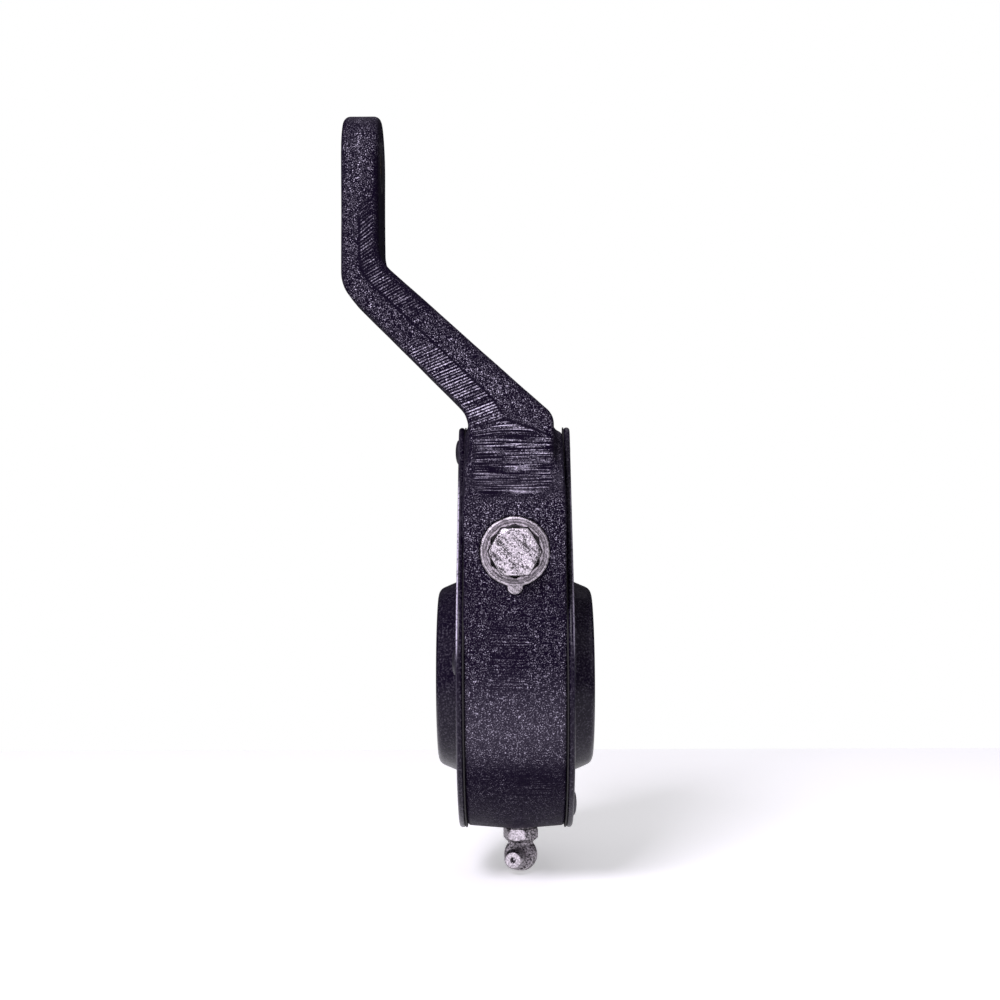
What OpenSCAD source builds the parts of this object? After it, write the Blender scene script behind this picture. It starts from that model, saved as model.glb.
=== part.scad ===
// Manual brake slack adjuster for an S-cam drum brake.
// Origin: centre of the splined bore. X: camshaft axis. Y: worm axis, hex end at -Y. Z: along the arm.

/* [Arm] */
// Splined bore to clevis pin hole
arm_length = 165.1; // [140:0.1:200]
// Sideways offset of the arm's eye from the body's middle plane
arm_offset = 48.7; // [40:0.1:60]
// Thickness of the arm at its eye
eye_t = 12.1; // [10:0.1:16]
// Outer radius of the eye
eye_r = 16.5; // [14:0.1:20]
// Radius of the clevis pin hole in the bushing
pin_r = 6.4; // [5:0.05:8]
// Wall of the clevis bushing
bush_wall = 2; // [1:0.1:3]
// Height of the bend on the arm's outer side
bend_z = 124.4; // [115:0.1:132]
// Extra height of the bend on the arm's inner side
bend_rise = 8.9; // [5:0.1:12]
// Length over which the bend is rounded off on its outer side
bend_reach = 4.5; // [2:0.1:6]
// Height where the arm leaves the body
root_z = 83.8; // [82:0.1:90]
// Left edge of the arm where it leaves the body
root_left = 14.4; // [10:0.1:15]
// Right edge of the arm where it leaves the body
root_right = 12.4; // [8:0.1:15]
// Half width of the arm at the bend, seen from the side
bend_half_y = 17.5; // [15:0.5:22]
// Half width of the arm at its root, seen from the side
root_half_y = 21; // [18:0.5:26]
// Rounding of the forged arm's edges
arm_edge_r = 3; // [2:0.1:4]
// Height of the parting ridge above the arm's edges
arm_draft = 1; // [0:0.1:1.5]
// Depth of the arm's foot behind the flat faces at the worm's ends
foot_set = 1; // [0.5:0.1:3]
// Half width of the arm between root and foot, seen from the side
waist_half_y = 28; // [26:0.5:34]
// Height lost from the shoulder to the waist between root and foot
root_drop = 14; // [4:0.5:16]

/* [Body] */
// Width of the body between the gaskets
body_w = 31; // [29:0.1:36]
// Radius of the body round the splined bore
body_r = 49; // [47.5:0.1:56]
// Depth of the flat faces at the worm's ends behind the body's parting line
boss_set = 4; // [3:0.1:6]
// Height of the worm boss at its two ends
boss_z = 58; // [56:0.1:62]
// Height of the body's shoulder
shoulder_z = 79; // [78:0.1:82]
// Half width of the shoulder, seen from the side
shoulder_half_y = 10; // [8:0.5:16]
// Half width of the hollow between boss and shoulder, seen from the side
hollow_half_y = 29; // [26:0.5:33]
// Height of that hollow
hollow_z = 63; // [62:0.5:66]
// Rounding of the boss and shoulder, seen from the side
boss_edge_r = 6; // [2:0.5:7]
// Rounding of the hollow, seen from the side
hollow_r = 12; // [6:0.5:14]
// Radius lost by the barrel's draft, from its parting line to its sides
body_draft = 1.2; // [0:0.1:2]
// Radius of the cavity round the worm wheel
cavity_r = 34.5; // [34.1:0.1:36]

/* [Covers] */
// How far the covers' edges stay inside the body's parting line
cover_inset = 0.5; // [0.2:0.1:1.5]
// Radius of the covers' upper tip
tip_r = 8; // [6:0.1:10]
// Thickness of the cover sheet
cover_t = 2; // [1.2:0.1:2.4]
// Thickness of the gaskets
gasket_t = 0.4; // [0.2:0.05:0.8]
// Radius of the cover's dome where it leaves the plate
dome_r = 30.8; // [29.5:0.1:33]
// Radius of the dome at its outer face
dome_face_r = 27.7; // [26.8:0.1:29]
// Height of the dome above the plate
dome_h = 6.8; // [5.5:0.1:9]
// Rounding of the dome's outer edge
dome_edge_r = 3; // [2.2:0.1:3.5]
// Splined bore to the top rivet
rivet_top_z = 72.5; // [71:0.1:76]
// Lower rivets to the body's parting line
rivet_edge = 6.7; // [6:0.1:8]
// Angle of the side rivets above the camshaft axis
rivet_side_a = 11; // [5:1:14]
// Angle of the bottom rivets below the camshaft axis
rivet_bottom_a = 65; // [55:1:68]
// Radius of a rivet's shank
rivet_r = 2.5; // [2:0.1:3]
// Radius of a rivet's head
rivet_head_r = 4; // [3.5:0.1:4.5]
// Height of a rivet's head
rivet_head_h = 1.1; // [0.8:0.1:2]

/* [Gear] */
// Module of the worm and wheel
gear_module = 2.5; // [2.4:0.01:2.55]
// Teeth of the worm wheel
wheel_teeth = 25; // [24:1:25]
// Pitch radius of the worm
worm_pitch_r = 10.25; // [10:0.05:10.6]
// Length of the worm
worm_len = 35; // [30:0.5:36]
// Width of the wheel's toothed rim
rim_w = 22; // [18:0.5:26]
// Radius of the wheel's shoulders
wheel_shoulder_r = 25.2; // [24.5:0.1:25.4]
// Radius of the wheel's hub ends
hub_r = 23.5; // [22.5:0.1:24]
// Teeth of the spline
spline_teeth = 28; // [10:1:36]
// Outer radius of the spline
spline_r = 19.05; // [17:0.05:20]
// Depth of a spline tooth
spline_depth = 1.4; // [1:0.1:2]
// Thickness lost by each tooth and thread for backlash
backlash = 0.35; // [0.3:0.05:0.6]

/* [Adjusting shaft] */
// Hex head across its flats
hex_af = 14; // [12.5:0.1:14.5]
// Length of the hex that stands out of the locked sleeve
hex_proud = 2; // [1.5:0.1:4]
// Radius of the shaft's neck and front journal
neck_r = 7; // [6.6:0.1:7.1]
// Radius of the shaft in the worm and the rear bushing
shaft_r = 5.5; // [4.5:0.1:6]
// Length of the rear bushing
rear_bush_len = 12; // [8:0.5:16]
// Thickness of the worm's thrust washers
washer_t = 1; // [0.8:0.1:1.5]
// Thickness of the rear expansion plug
plug_t = 1.2; // [0.8:0.1:2]
// Section radius of the shaft's seal ring
seal_section_r = 0.8; // [0.6:0.05:1]

/* [Lock] */
// Outer radius of the lock sleeve
sleeve_r = 10.55; // [10.2:0.05:11]
// Wall of the lock sleeve
sleeve_wall = 1.2; // [1:0.05:1.3]
// Thickness of the sleeve's twelve-point lip
lip_t = 3.5; // [3:0.1:4]
// Length of the lock sleeve
sleeve_len = 11; // [9:0.1:12]
// Travel of the lock sleeve over the hex
lock_travel = 4.5; // [4.2:0.1:5]
// Radius of the round key on the sleeve
key_r = 2.4; // [1.8:0.1:2.8]
// Depth of the sleeve's counterbore
counterbore_depth = 14; // [13:0.1:16]
// Wire diameter of the lock spring
spring_wire = 1.2; // [0.8:0.05:1.3]
// Turns of the lock spring
spring_turns = 4; // [3:0.5:5]

/* [Grease fitting] */
// Sideways place of the grease fitting
fitting_x = 1.5; // [0:0.1:4]
// Turn of the fitting about its shank
fitting_turn = 14; // [0:1:60]
// Hex of the fitting across its flats
fitting_af = 10.3; // [8:0.1:12]
// Height of the fitting's hex
fitting_hex_h = 4.4; // [3:0.1:6]
// Radius of the fitting's shank
fitting_shank_r = 4.6; // [3.5:0.1:5]
// Radius of the elbow's ball
elbow_r = 5.4; // [4.8:0.1:6]
// Radius of the neck between hex and elbow
fitting_neck_r = 4.1; // [3.5:0.1:4.4]
// Length of that neck
fitting_neck_h = 0.8; // [0.4:0.1:2]
// Length of the nozzle from the shank's axis
nozzle_len = 10.6; // [10:0.1:12]
// Radius of the nozzle's head
nozzle_r = 3.25; // [3:0.05:3.6]
// Radius of the check ball
ball_r = 0.9; // [0.8:0.05:1]

/* [Hidden] */
$fn = 96;

// Clearances
running = 0.06;
press = 0.01;
slide_gap = 0.12;
face_gap = 0.1;
over = 1;

// Places that follow the body's radius
boss_y = body_r - boss_set;
foot_half_y = boss_y - foot_set;
cover_r = body_r - cover_inset;
rivet_circle_r = body_r - rivet_edge;

// Side faces, out from the middle plane
body_half = body_w / 2;
plate_in = body_half + gasket_t;
plate_out = plate_in + cover_t;
dome_face = plate_out + dome_h;
dome_in = dome_face - cover_t;
dome_lean = atan((dome_r - dome_face_r) / dome_h);
dome_wall = cover_t / cos(dome_lean);
hub_half = dome_face - 2 * face_gap;
seal_len = 2;
shoulder_half = dome_in - seal_len - 2 * face_gap;

// Gears
wheel_pitch_r = gear_module * wheel_teeth / 2;
wheel_tip_r = wheel_pitch_r + gear_module;
wheel_root_r = wheel_pitch_r - 1.25 * gear_module;
worm_tip_r = worm_pitch_r + gear_module;
worm_root_r = worm_pitch_r - 1.25 * gear_module;
worm_z = wheel_pitch_r + worm_pitch_r;
thread_lead = PI * gear_module;
pressure_a = 20;
rim_twist = rim_w * thread_lead / (2 * PI * worm_pitch_r) / wheel_pitch_r * 180 / PI;
tip_room = 0.3;
worm_bore_r = worm_tip_r + tip_room;

// Places along the worm's axis
hex_gap = 0.8;
hex_back = -boss_y - hex_gap;
hex_front = -boss_y - lock_travel - hex_proud;
seat_y = -boss_y + counterbore_depth;
seat_t = 1;
worm_end = worm_len / 2;
washer_end = worm_end + 2 * face_gap + washer_t;
bush_end = washer_end + face_gap + rear_bush_len;
seal_y = (seat_y - washer_end) / 2;
neck_bore_r = neck_r + running;
spring_mean_r = (neck_r + sleeve_r - sleeve_wall) / 2;
spring_front = -boss_y + lip_t;
spring_back = seat_y - seat_t;
star_play = 0.5;
star_af = hex_af + star_play;

// Places of the rivets, as distance along Y, height and the side of the round head
side_rivet = rivet_circle_r * [cos(rivet_side_a), sin(rivet_side_a)];
bottom_rivet = rivet_circle_r * [cos(rivet_bottom_a), -sin(rivet_bottom_a)];
RIVETS = [
    [0, rivet_top_z, -1],
    [-side_rivet[0], side_rivet[1], -1],
    [side_rivet[0], side_rivet[1], -1],
    [-bottom_rivet[0], bottom_rivet[1], 1],
    [bottom_rivet[0], bottom_rivet[1], 1]
];

// Grease fitting
fitting_top = -body_r - 3 * face_gap;
hex_bottom = fitting_top - fitting_hex_h;
neck_bottom = hex_bottom - fitting_neck_h;
elbow_z = neck_bottom - sqrt(pow(elbow_r, 2) - pow(fitting_neck_r, 2));
elbow_flat = 0.5;
shank_len = 10;
grease_way_r = 1.5;
ball_set = 0.35;
ball_y = -nozzle_len + ball_r + ball_set;
mouth_r = 0.7;

// Colours
PAINT = [0.1, 0.09, 0.12];
ZINC = [0.72, 0.71, 0.74];
STEEL = [0.5, 0.5, 0.53];
BRONZE = [0.66, 0.52, 0.3];
RUBBER = [0.06, 0.06, 0.06];
PAPER = [0.42, 0.36, 0.28];

function unit(v) = v / norm(v);

// Centre of a circle that touches both edges of the corner p; side -1 puts it on the reflex side
function corner_centre(a, p, b, r, side = 1) =
    let (u = unit(a - p), v = unit(b - p))
    p + side * unit(u + v) * r / sin(acos(u * v) / 2);

// Arc that rounds the corner p between its neighbours a and b
function corner_arc(a, p, b, r, steps = 8) =
    let (
        c = corner_centre(a, p, b, r),
        u = unit(a - p),
        v = unit(b - p),
        reach = r / tan(acos(u * v) / 2),
        from = unit(p + u * reach - c),
        to = unit(p + v * reach - c),
        sweep = acos(from * to)
    )
    [for (i = [0 : steps])
        c + r * (sin(sweep * (1 - i / steps)) * from + sin(sweep * i / steps) * to) / sin(sweep)];

// Outline with each corner rounded by its own radius, zero for a sharp one
function rounded(points, radii) =
    let (n = len(points))
    [for (i = [0 : n - 1])
        each radii[i] == 0
            ? [points[i]]
            : corner_arc(points[(i + n - 1) % n], points[i], points[(i + 1) % n], radii[i])];

module along_x(from, to) {
    translate([from, 0, 0]) rotate([90, 0, 90]) linear_extrude(to - from) children();
}

module about_x() {
    rotate([0, 90, 0]) rotate_extrude() children();
}

module about_y() {
    rotate([-90, 0, 0]) rotate_extrude() children();
}

module bar_y(r, from, to) {
    translate([0, from, 0]) rotate([-90, 0, 0]) cylinder(r = r, h = to - from);
}

module tube_y(r_out, r_in, from, to) {
    difference() {
        bar_y(r_out, from, to);
        bar_y(r_in, from - over, to + over);
    }
}

module at_worm() {
    translate([0, 0, worm_z]) children();
}

module at_fitting() {
    translate([fitting_x, 0, elbow_z]) rotate([0, 0, -fitting_turn]) children();
}

// Solid through a row of like rings of points
module swept(rings) {
    n = len(rings);
    k = len(rings[0]);
    sides = [for (i = [0 : n - 2], j = [0 : k - 1])
        [i * k + j, i * k + (j + 1) % k, (i + 1) * k + (j + 1) % k, (i + 1) * k + j]];
    first = [for (j = [k - 1 : -1 : 0]) j];
    last = [for (j = [0 : k - 1]) (n - 1) * k + j];
    polyhedron([for (ring = rings) each ring], concat([first], sides, [last]), convexity = 10);
}

// Point of a helix about Y, from the underside and turning right-handed
function helix_point(r, a, y) = [-r * sin(a), y, -r * cos(a)];

module coil_y(mean_r, wire, turns, from, to, steps = 20, sides = 8) {
    first = from + wire / 2;
    rise = to - from - wire;
    rings = [for (i = [0 : turns * steps])
        [for (j = [0 : sides - 1])
            let (a = 360 * j / sides, turn = i / steps)
            helix_point(mean_r + wire / 2 * cos(a), 360 * turn,
                first + rise * turn / turns + wire / 2 * sin(a))]];
    swept(rings);
}

module rivet_places() {
    for (place = RIVETS) translate([0, place[0], place[1]]) children();
}

module rivet_holes() {
    rivet_places() rotate([0, 90, 0]) cylinder(r = rivet_r + press, h = 2 * dome_face, center = true);
}

// Side outline of the covers: a round plate drawn out to a tip at the top rivet
module cover_outline() {
    lean = asin((cover_r - tip_r) / rivet_top_z);
    side = [cos(lean), sin(lean)];
    low = cover_r * side;
    high = [0, rivet_top_z] + tip_r * side;
    circle(cover_r);
    translate([0, rivet_top_z]) circle(tip_r);
    polygon([low, high, [-high[0], high[1]], [-low[0], low[1]]]);
}

// Side outline of the worm boss and the shoulder that backs the covers' tips
module boss_outline() {
    polygon(rounded(
        [[-boss_y, 0], [boss_y, 0], [boss_y, boss_z], [hollow_half_y, hollow_z],
            [shoulder_half_y, shoulder_z], [-shoulder_half_y, shoulder_z],
            [-hollow_half_y, hollow_z], [-boss_y, boss_z]],
        [0, 0, boss_edge_r, hollow_r, arm_edge_r, arm_edge_r, hollow_r, boss_edge_r]));
}

// One cross-section of the arm, given as its left and right corners and half width: balls at its corners,
// and at the parting ridge that the draft leaves
module arm_section(section) {
    left = section[0];
    right = section[1];
    ridge_y = section[2] - arm_edge_r;
    for (y = [-1, 1]) {
        for (p = [left, right])
            translate([p[0], y * (ridge_y - arm_draft), p[1]]) sphere(arm_edge_r, $fn = 24);
        translate([(left[0] + right[0]) / 2, y * ridge_y, (left[1] + right[1]) / 2])
            sphere(arm_edge_r, $fn = 24);
    }
}

// Forged arm: a row of rounded cross-sections from the bend to the boss, and the eye above them
module arm() {
    r = arm_edge_r;
    up = [0, 1];
    bend_left = [-arm_offset - eye_t / 2, bend_z];
    bend_right = [-arm_offset + eye_t / 2, bend_z + bend_rise];
    foot_left = [-root_left, root_z];
    foot_right = [root_right, root_z];
    down_left = unit(foot_left - bend_left);
    down_right = unit(foot_right - bend_right);
    bend_l = corner_centre(bend_left + up, bend_left, foot_left, r);
    bend_r = corner_centre(bend_right + up, bend_right, foot_right, r, -1);
    foot_l = corner_centre(bend_left, foot_left, foot_left - up, r, -1);
    foot_r = corner_centre(bend_right, foot_right, foot_right - up, r);
    waist = [0, root_z - shoulder_z + root_drop];
    deep = [0, root_z - boss_z + r];
    sections = [
        [bend_l + bend_reach * up, bend_r + r * up, bend_half_y],
        [bend_l + bend_reach * down_left, bend_r + r * down_right, bend_half_y],
        [foot_l, foot_r, root_half_y],
        [foot_l - waist, foot_r - waist, waist_half_y],
        [foot_l - deep, foot_r - deep, foot_half_y]
    ];
    hull() {
        translate([-arm_offset, 0, arm_length]) about_x($fn = 56) polygon(rounded(
            [[0, -eye_t / 2], [eye_r, -eye_t / 2], [eye_r, eye_t / 2], [0, eye_t / 2]], [0, r, r, 0]));
        arm_section(sections[0]);
    }
    for (i = [1 : len(sections) - 1]) hull() {
        arm_section(sections[i - 1]);
        arm_section(sections[i]);
    }
}

module body() {
    color(PAINT) difference() {
        union() {
            about_x() polygon([[0, -body_half], [body_r - body_draft, -body_half], [body_r, 0],
                [body_r - body_draft, body_half], [0, body_half]]);
            along_x(-body_half, body_half) boss_outline();
            arm();
        }
        rotate([0, 90, 0]) cylinder(r = cavity_r, h = body_w + 2 * over, center = true);
        translate([-arm_offset, 0, arm_length]) rotate([0, 90, 0])
            cylinder(r = pin_r + bush_wall + press, h = eye_t + 2 * over, center = true);
        at_worm() {
            bar_y(neck_bore_r, -boss_y, 0);
            bar_y(worm_bore_r, -washer_end - face_gap, boss_y + over);
            bar_y(sleeve_r + slide_gap, -boss_y - over, seat_y);
            translate([0, 0, -sleeve_r]) bar_y(key_r + slide_gap, -boss_y - over, seat_y);
        }
        rivet_holes();
        translate([fitting_x, 0, -body_r - over])
            cylinder(r = fitting_shank_r + press, h = shank_len + over);
        translate([fitting_x, 0, -body_r]) cylinder(r = grease_way_r, h = body_r - cavity_r + over);
    }
}

module clevis_bushing() {
    color(BRONZE) translate([-arm_offset, 0, arm_length]) rotate([0, 0, 90])
        tube_y(pin_r + bush_wall, pin_r, -eye_t / 2, eye_t / 2);
}

// One stamped cover, on the +X side: flat plate, domed middle and a hole that guides the wheel's hub
module cover() {
    hole_r = hub_r + running;
    inner_r = dome_r - dome_wall;
    inner_face_r = dome_face_r - dome_wall + cover_t * tan(dome_lean);
    color(PAINT) difference() {
        union() {
            difference() {
                along_x(plate_in, plate_out) cover_outline();
                about_x() translate([0, plate_in - over]) square([inner_r, cover_t + 2 * over]);
            }
            about_x() difference() {
                polygon(rounded(
                    [[hole_r, plate_in], [dome_r, plate_in], [dome_r, plate_out],
                        [dome_face_r, dome_face], [hole_r, dome_face]],
                    [0, 0, 0, dome_edge_r, 0]));
                polygon(rounded(
                    [[hole_r - over, plate_in - over], [inner_r, plate_in - over], [inner_r, plate_out],
                        [inner_face_r, dome_in], [hole_r - over, dome_in]],
                    [0, 0, 0, dome_edge_r - cover_t, 0]));
            }
        }
        rivet_holes();
    }
}

module left_cover() {
    mirror([1, 0, 0]) cover();
}

module right_cover() {
    cover();
}

module gasket() {
    color(PAPER) difference() {
        along_x(body_half, plate_in) cover_outline();
        rotate([0, 90, 0]) cylinder(r = cavity_r, h = dome_face);
        rivet_holes();
    }
}

module left_gasket() {
    mirror([1, 0, 0]) gasket();
}

module right_gasket() {
    gasket();
}

// Square seal ring between the wheel's hub and the dome
module hub_seal() {
    low = shoulder_half + face_gap;
    color(RUBBER) about_x() translate([hub_r + running, low])
        square([wheel_shoulder_r - hub_r - running, dome_in - low]);
}

module left_hub_seal() {
    mirror([1, 0, 0]) hub_seal();
}

module right_hub_seal() {
    hub_seal();
}

// Rivets through both covers: a round head on one side and a flush tail on the other
module cover_rivets() {
    head_steps = 6;
    ball_r = (pow(rivet_head_r, 2) + pow(rivet_head_h, 2)) / (2 * rivet_head_h);
    head_a = asin(rivet_head_r / ball_r);
    head = [for (i = [head_steps : -1 : 1])
        let (a = head_a * i / head_steps)
        [ball_r * sin(a), plate_out + rivet_head_h - ball_r * (1 - cos(a))]];
    color(PAINT) for (place = RIVETS) translate([0, place[0], place[1]]) rotate([0, place[2] * 90, 0])
        rotate_extrude($fn = 48) polygon(concat(
            [[0, -plate_out], [rivet_r, -plate_out], [rivet_r, plate_out]],
            head, [[0, plate_out + rivet_head_h]]));
}

// Involute of the pressure angle a, in degrees
function involute(a) = tan(a) * 180 / PI - a;

// Half the angle of a wheel tooth at radius r, thinned for backlash
function tooth_half_angle(r) =
    let (base_r = wheel_pitch_r * cos(pressure_a), a = acos(min(1, base_r / r)))
    90 / wheel_teeth + involute(pressure_a) - involute(a) - backlash / wheel_pitch_r * 90 / PI;

module wheel_outline() {
    steps = 4;
    radii = [for (i = [0 : steps]) wheel_root_r + (wheel_tip_r - wheel_root_r) * i / steps];
    points = [for (t = [0 : wheel_teeth - 1])
        let (middle = 90 + 360 * t / wheel_teeth)
        each concat(
            [for (i = [0 : steps])
                let (a = middle - tooth_half_angle(radii[i])) radii[i] * [cos(a), sin(a)]],
            [for (i = [steps : -1 : 0])
                let (a = middle + tooth_half_angle(radii[i])) radii[i] * [cos(a), sin(a)]])];
    polygon(points);
}

// Bore with straight-sided internal spline teeth
module spline_outline() {
    pitch_a = 360 / spline_teeth;
    in_r = spline_r - spline_depth;
    mouth = 0.31;
    floor = 0.22;
    points = [for (t = [0 : spline_teeth - 1])
        each [for (q = [[in_r, -mouth], [spline_r, -floor], [spline_r, floor], [in_r, mouth]])
            let (a = pitch_a * (t + q[1])) q[0] * [cos(a), sin(a)]]];
    polygon(points);
}

// Worm wheel: helical rim, shoulders, hub ends and splined bore
module worm_wheel() {
    color(STEEL) difference() {
        union() {
            translate([-rim_w / 2, 0, 0]) rotate([90, 0, 90]) rotate(-rim_twist / 2)
                linear_extrude(rim_w, twist = -rim_twist, slices = 6) wheel_outline();
            rotate([0, 90, 0]) cylinder(r = wheel_shoulder_r, h = 2 * shoulder_half, center = true);
            rotate([0, 90, 0]) cylinder(r = hub_r, h = 2 * hub_half, center = true);
        }
        along_x(-hub_half - over, hub_half + over) spline_outline();
    }
}

// Single-start right-handed worm with a straight-sided thread
module worm() {
    steps = 24;
    sink = 0.3;
    low_r = worm_root_r - sink;
    half_pitch = thread_lead / 4 - backlash / 2;
    half_low = half_pitch + (worm_pitch_r - low_r) * tan(pressure_a);
    half_tip = half_pitch - (worm_tip_r - worm_pitch_r) * tan(pressure_a);
    turns = ceil(worm_len / thread_lead / 2) + 1;
    rings = [for (i = [-turns * steps : turns * steps])
        let (a = 360 * i / steps, y = thread_lead * (i / steps + 0.5))
        [helix_point(low_r, a, y - half_low), helix_point(worm_tip_r, a, y - half_tip),
            helix_point(worm_tip_r, a, y + half_tip), helix_point(low_r, a, y + half_low)]];
    color(STEEL) at_worm() difference() {
        union() {
            bar_y(worm_root_r, -worm_end, worm_end);
            intersection() {
                swept(rings);
                bar_y(worm_tip_r + over, -worm_end, worm_end);
            }
        }
        bar_y(shaft_r + press, -worm_end - over, worm_end + over);
    }
}

// Adjusting shaft: chamfered hex head, round neck, seal groove and the seat of the worm
module worm_shaft() {
    corner_r = hex_af / 2 / cos(30);
    face_edge = 0.25;
    chamfer = corner_r - hex_af / 2 + face_edge;
    groove_half = 1.4 * seal_section_r;
    color(ZINC) at_worm() difference() {
        union() {
            intersection() {
                translate([0, hex_front, 0]) rotate([-90, 0, 0])
                    cylinder(r = corner_r, h = hex_back - hex_front, $fn = 6);
                about_y() polygon([[0, hex_front], [corner_r - chamfer, hex_front],
                    [corner_r + chamfer, hex_front + chamfer], [corner_r + chamfer, hex_back],
                    [0, hex_back]]);
            }
            bar_y(neck_r, hex_back, -washer_end);
            bar_y(shaft_r, -washer_end, bush_end);
        }
        translate([0, seal_y, 0])
            tube_y(neck_r + over, neck_r - 2 * seal_section_r, -groove_half, groove_half);
    }
}

module shaft_seal() {
    color(RUBBER) at_worm() translate([0, seal_y, 0]) about_y()
        translate([neck_r - seal_section_r + running / 2, 0]) circle(seal_section_r, $fn = 32);
}

module thrust_washer() {
    front = worm_end + face_gap;
    tube_y(worm_root_r + gear_module / 2, shaft_r + running, front, front + washer_t);
}

module front_thrust_washer() {
    color(BRONZE) at_worm() mirror([0, 1, 0]) thrust_washer();
}

module rear_thrust_washer() {
    color(BRONZE) at_worm() thrust_washer();
}

module rear_bushing() {
    color(BRONZE) at_worm()
        tube_y(worm_bore_r - press, shaft_r + running, washer_end + face_gap, bush_end);
}

// Pressed cup that closes the rear end of the worm bore
module worm_end_plug() {
    rim = 4;
    set_in = 1;
    r = worm_bore_r - press;
    back = boss_y - set_in;
    color(ZINC) at_worm() difference() {
        bar_y(r, back - rim, back);
        bar_y(r - plug_t, back - rim + plug_t, back + over);
    }
}

// Lock sleeve, pressed in: round key below and a twelve-point lip that slides over the hex
module lock_sleeve() {
    front = -boss_y;
    bore_r = sleeve_r - sleeve_wall;
    groove_depth = 0.6;
    color(ZINC) at_worm() difference() {
        union() {
            bar_y(sleeve_r, front, front + sleeve_len);
            translate([0, 0, -sleeve_r]) bar_y(key_r, front, front + sleeve_len);
        }
        bar_y(bore_r, front + lip_t, front + sleeve_len + over);
        for (turn = [0, 30]) translate([0, front - over, 0]) rotate([-90, turn, 0])
            cylinder(r = star_af / 2 / cos(30), h = lip_t + 2 * over, $fn = 6);
        tube_y(bore_r, bore_r - groove_depth, front - over, front + groove_depth);
    }
}

module lock_spring() {
    color(STEEL) at_worm()
        coil_y(spring_mean_r, spring_wire, spring_turns, spring_front + face_gap, spring_back - face_gap);
}

module spring_seat() {
    color(STEEL) at_worm() tube_y(sleeve_r, neck_r + slide_gap, spring_back, seat_y);
}

// Right-angled grease fitting: shank, hex, neck, ball elbow with a flat foot and a nozzle with a waist
module grease_fitting() {
    waist_r = 2.5;
    tip_r = 2.4;
    head = 2.6;
    taper = 0.6;
    rim = 1;
    color(ZINC) difference() {
        union() {
            translate([fitting_x, 0, hex_bottom])
                cylinder(r = fitting_shank_r, h = fitting_hex_h + shank_len);
            at_fitting() {
                translate([0, 0, hex_bottom - elbow_z])
                    cylinder(r = fitting_af / 2 / cos(30), h = fitting_hex_h, $fn = 6);
                cylinder(r = fitting_neck_r, h = hex_bottom - elbow_z + over);
                sphere(elbow_r);
                about_y() polygon([[0, 0], [waist_r, 0], [waist_r, head - nozzle_len + taper],
                    [nozzle_r, head - nozzle_len], [nozzle_r, head - nozzle_len - rim],
                    [tip_r, -nozzle_len], [0, -nozzle_len]]);
            }
        }
        at_fitting() {
            bar_y(ball_r + slide_gap, ball_y, ball_r);
            bar_y(mouth_r, -nozzle_len - over, 0);
            cylinder(r = ball_r, h = fitting_top - elbow_z + shank_len + over);
            translate([0, 0, elbow_flat - 2 * elbow_r]) cube(2 * elbow_r, center = true);
        }
    }
}

module grease_check_ball() {
    seat_gap = 0.02;
    color(STEEL) at_fitting() translate([0, ball_y + ball_r + seat_gap, 0]) sphere(ball_r);
}

module grease_ball_spring() {
    wire = 0.3;
    turns = 3;
    color(STEEL) at_fitting()
        coil_y(ball_r - wire / 2, wire, turns, ball_y + 2 * ball_r + face_gap, ball_r - face_gap, 14, 6);
}

body();
clevis_bushing();
left_cover();
right_cover();
left_gasket();
right_gasket();
left_hub_seal();
right_hub_seal();
cover_rivets();
worm_wheel();
worm();
worm_shaft();
front_thrust_washer();
rear_thrust_washer();
rear_bushing();
worm_end_plug();
shaft_seal();
lock_sleeve();
lock_spring();
spring_seat();
grease_fitting();
grease_check_ball();
grease_ball_spring();
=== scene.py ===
import math

import bmesh
import bpy
import numpy as np
from bpy.props import FloatProperty, FloatVectorProperty, PointerProperty
from mathutils import Matrix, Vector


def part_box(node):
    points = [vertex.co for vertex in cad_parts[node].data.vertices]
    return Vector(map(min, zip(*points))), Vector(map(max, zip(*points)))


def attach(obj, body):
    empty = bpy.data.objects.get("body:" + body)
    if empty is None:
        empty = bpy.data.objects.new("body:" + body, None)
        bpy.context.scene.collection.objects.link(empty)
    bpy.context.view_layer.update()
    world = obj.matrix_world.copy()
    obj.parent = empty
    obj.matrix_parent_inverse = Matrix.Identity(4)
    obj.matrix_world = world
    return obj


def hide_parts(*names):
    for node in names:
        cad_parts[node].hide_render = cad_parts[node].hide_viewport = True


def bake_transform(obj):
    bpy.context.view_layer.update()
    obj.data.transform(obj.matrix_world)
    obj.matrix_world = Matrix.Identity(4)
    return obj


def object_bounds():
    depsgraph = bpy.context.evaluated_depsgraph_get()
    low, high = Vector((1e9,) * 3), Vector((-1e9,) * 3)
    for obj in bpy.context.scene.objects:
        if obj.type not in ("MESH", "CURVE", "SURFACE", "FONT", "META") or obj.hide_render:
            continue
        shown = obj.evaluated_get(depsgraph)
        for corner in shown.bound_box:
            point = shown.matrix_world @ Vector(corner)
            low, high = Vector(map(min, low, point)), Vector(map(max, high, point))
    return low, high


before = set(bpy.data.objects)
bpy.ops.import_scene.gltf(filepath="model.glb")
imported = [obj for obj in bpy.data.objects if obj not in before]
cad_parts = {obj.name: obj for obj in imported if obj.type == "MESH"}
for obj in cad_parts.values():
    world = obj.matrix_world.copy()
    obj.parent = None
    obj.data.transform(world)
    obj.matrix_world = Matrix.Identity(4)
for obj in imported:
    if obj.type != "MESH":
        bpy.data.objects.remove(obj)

bl_info = {
    "name": "Brake slack adjuster",
    "version": (1, 0, 0),
    "blender": (4, 5, 0),
    "location": "3D View > Sidebar > Slack adjuster",
    "description": "Dresses the packed slack adjuster with its forged, pressed and plated surfaces",
    "category": "Object",
}

CAD_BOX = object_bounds()
MM = 0.001

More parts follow.
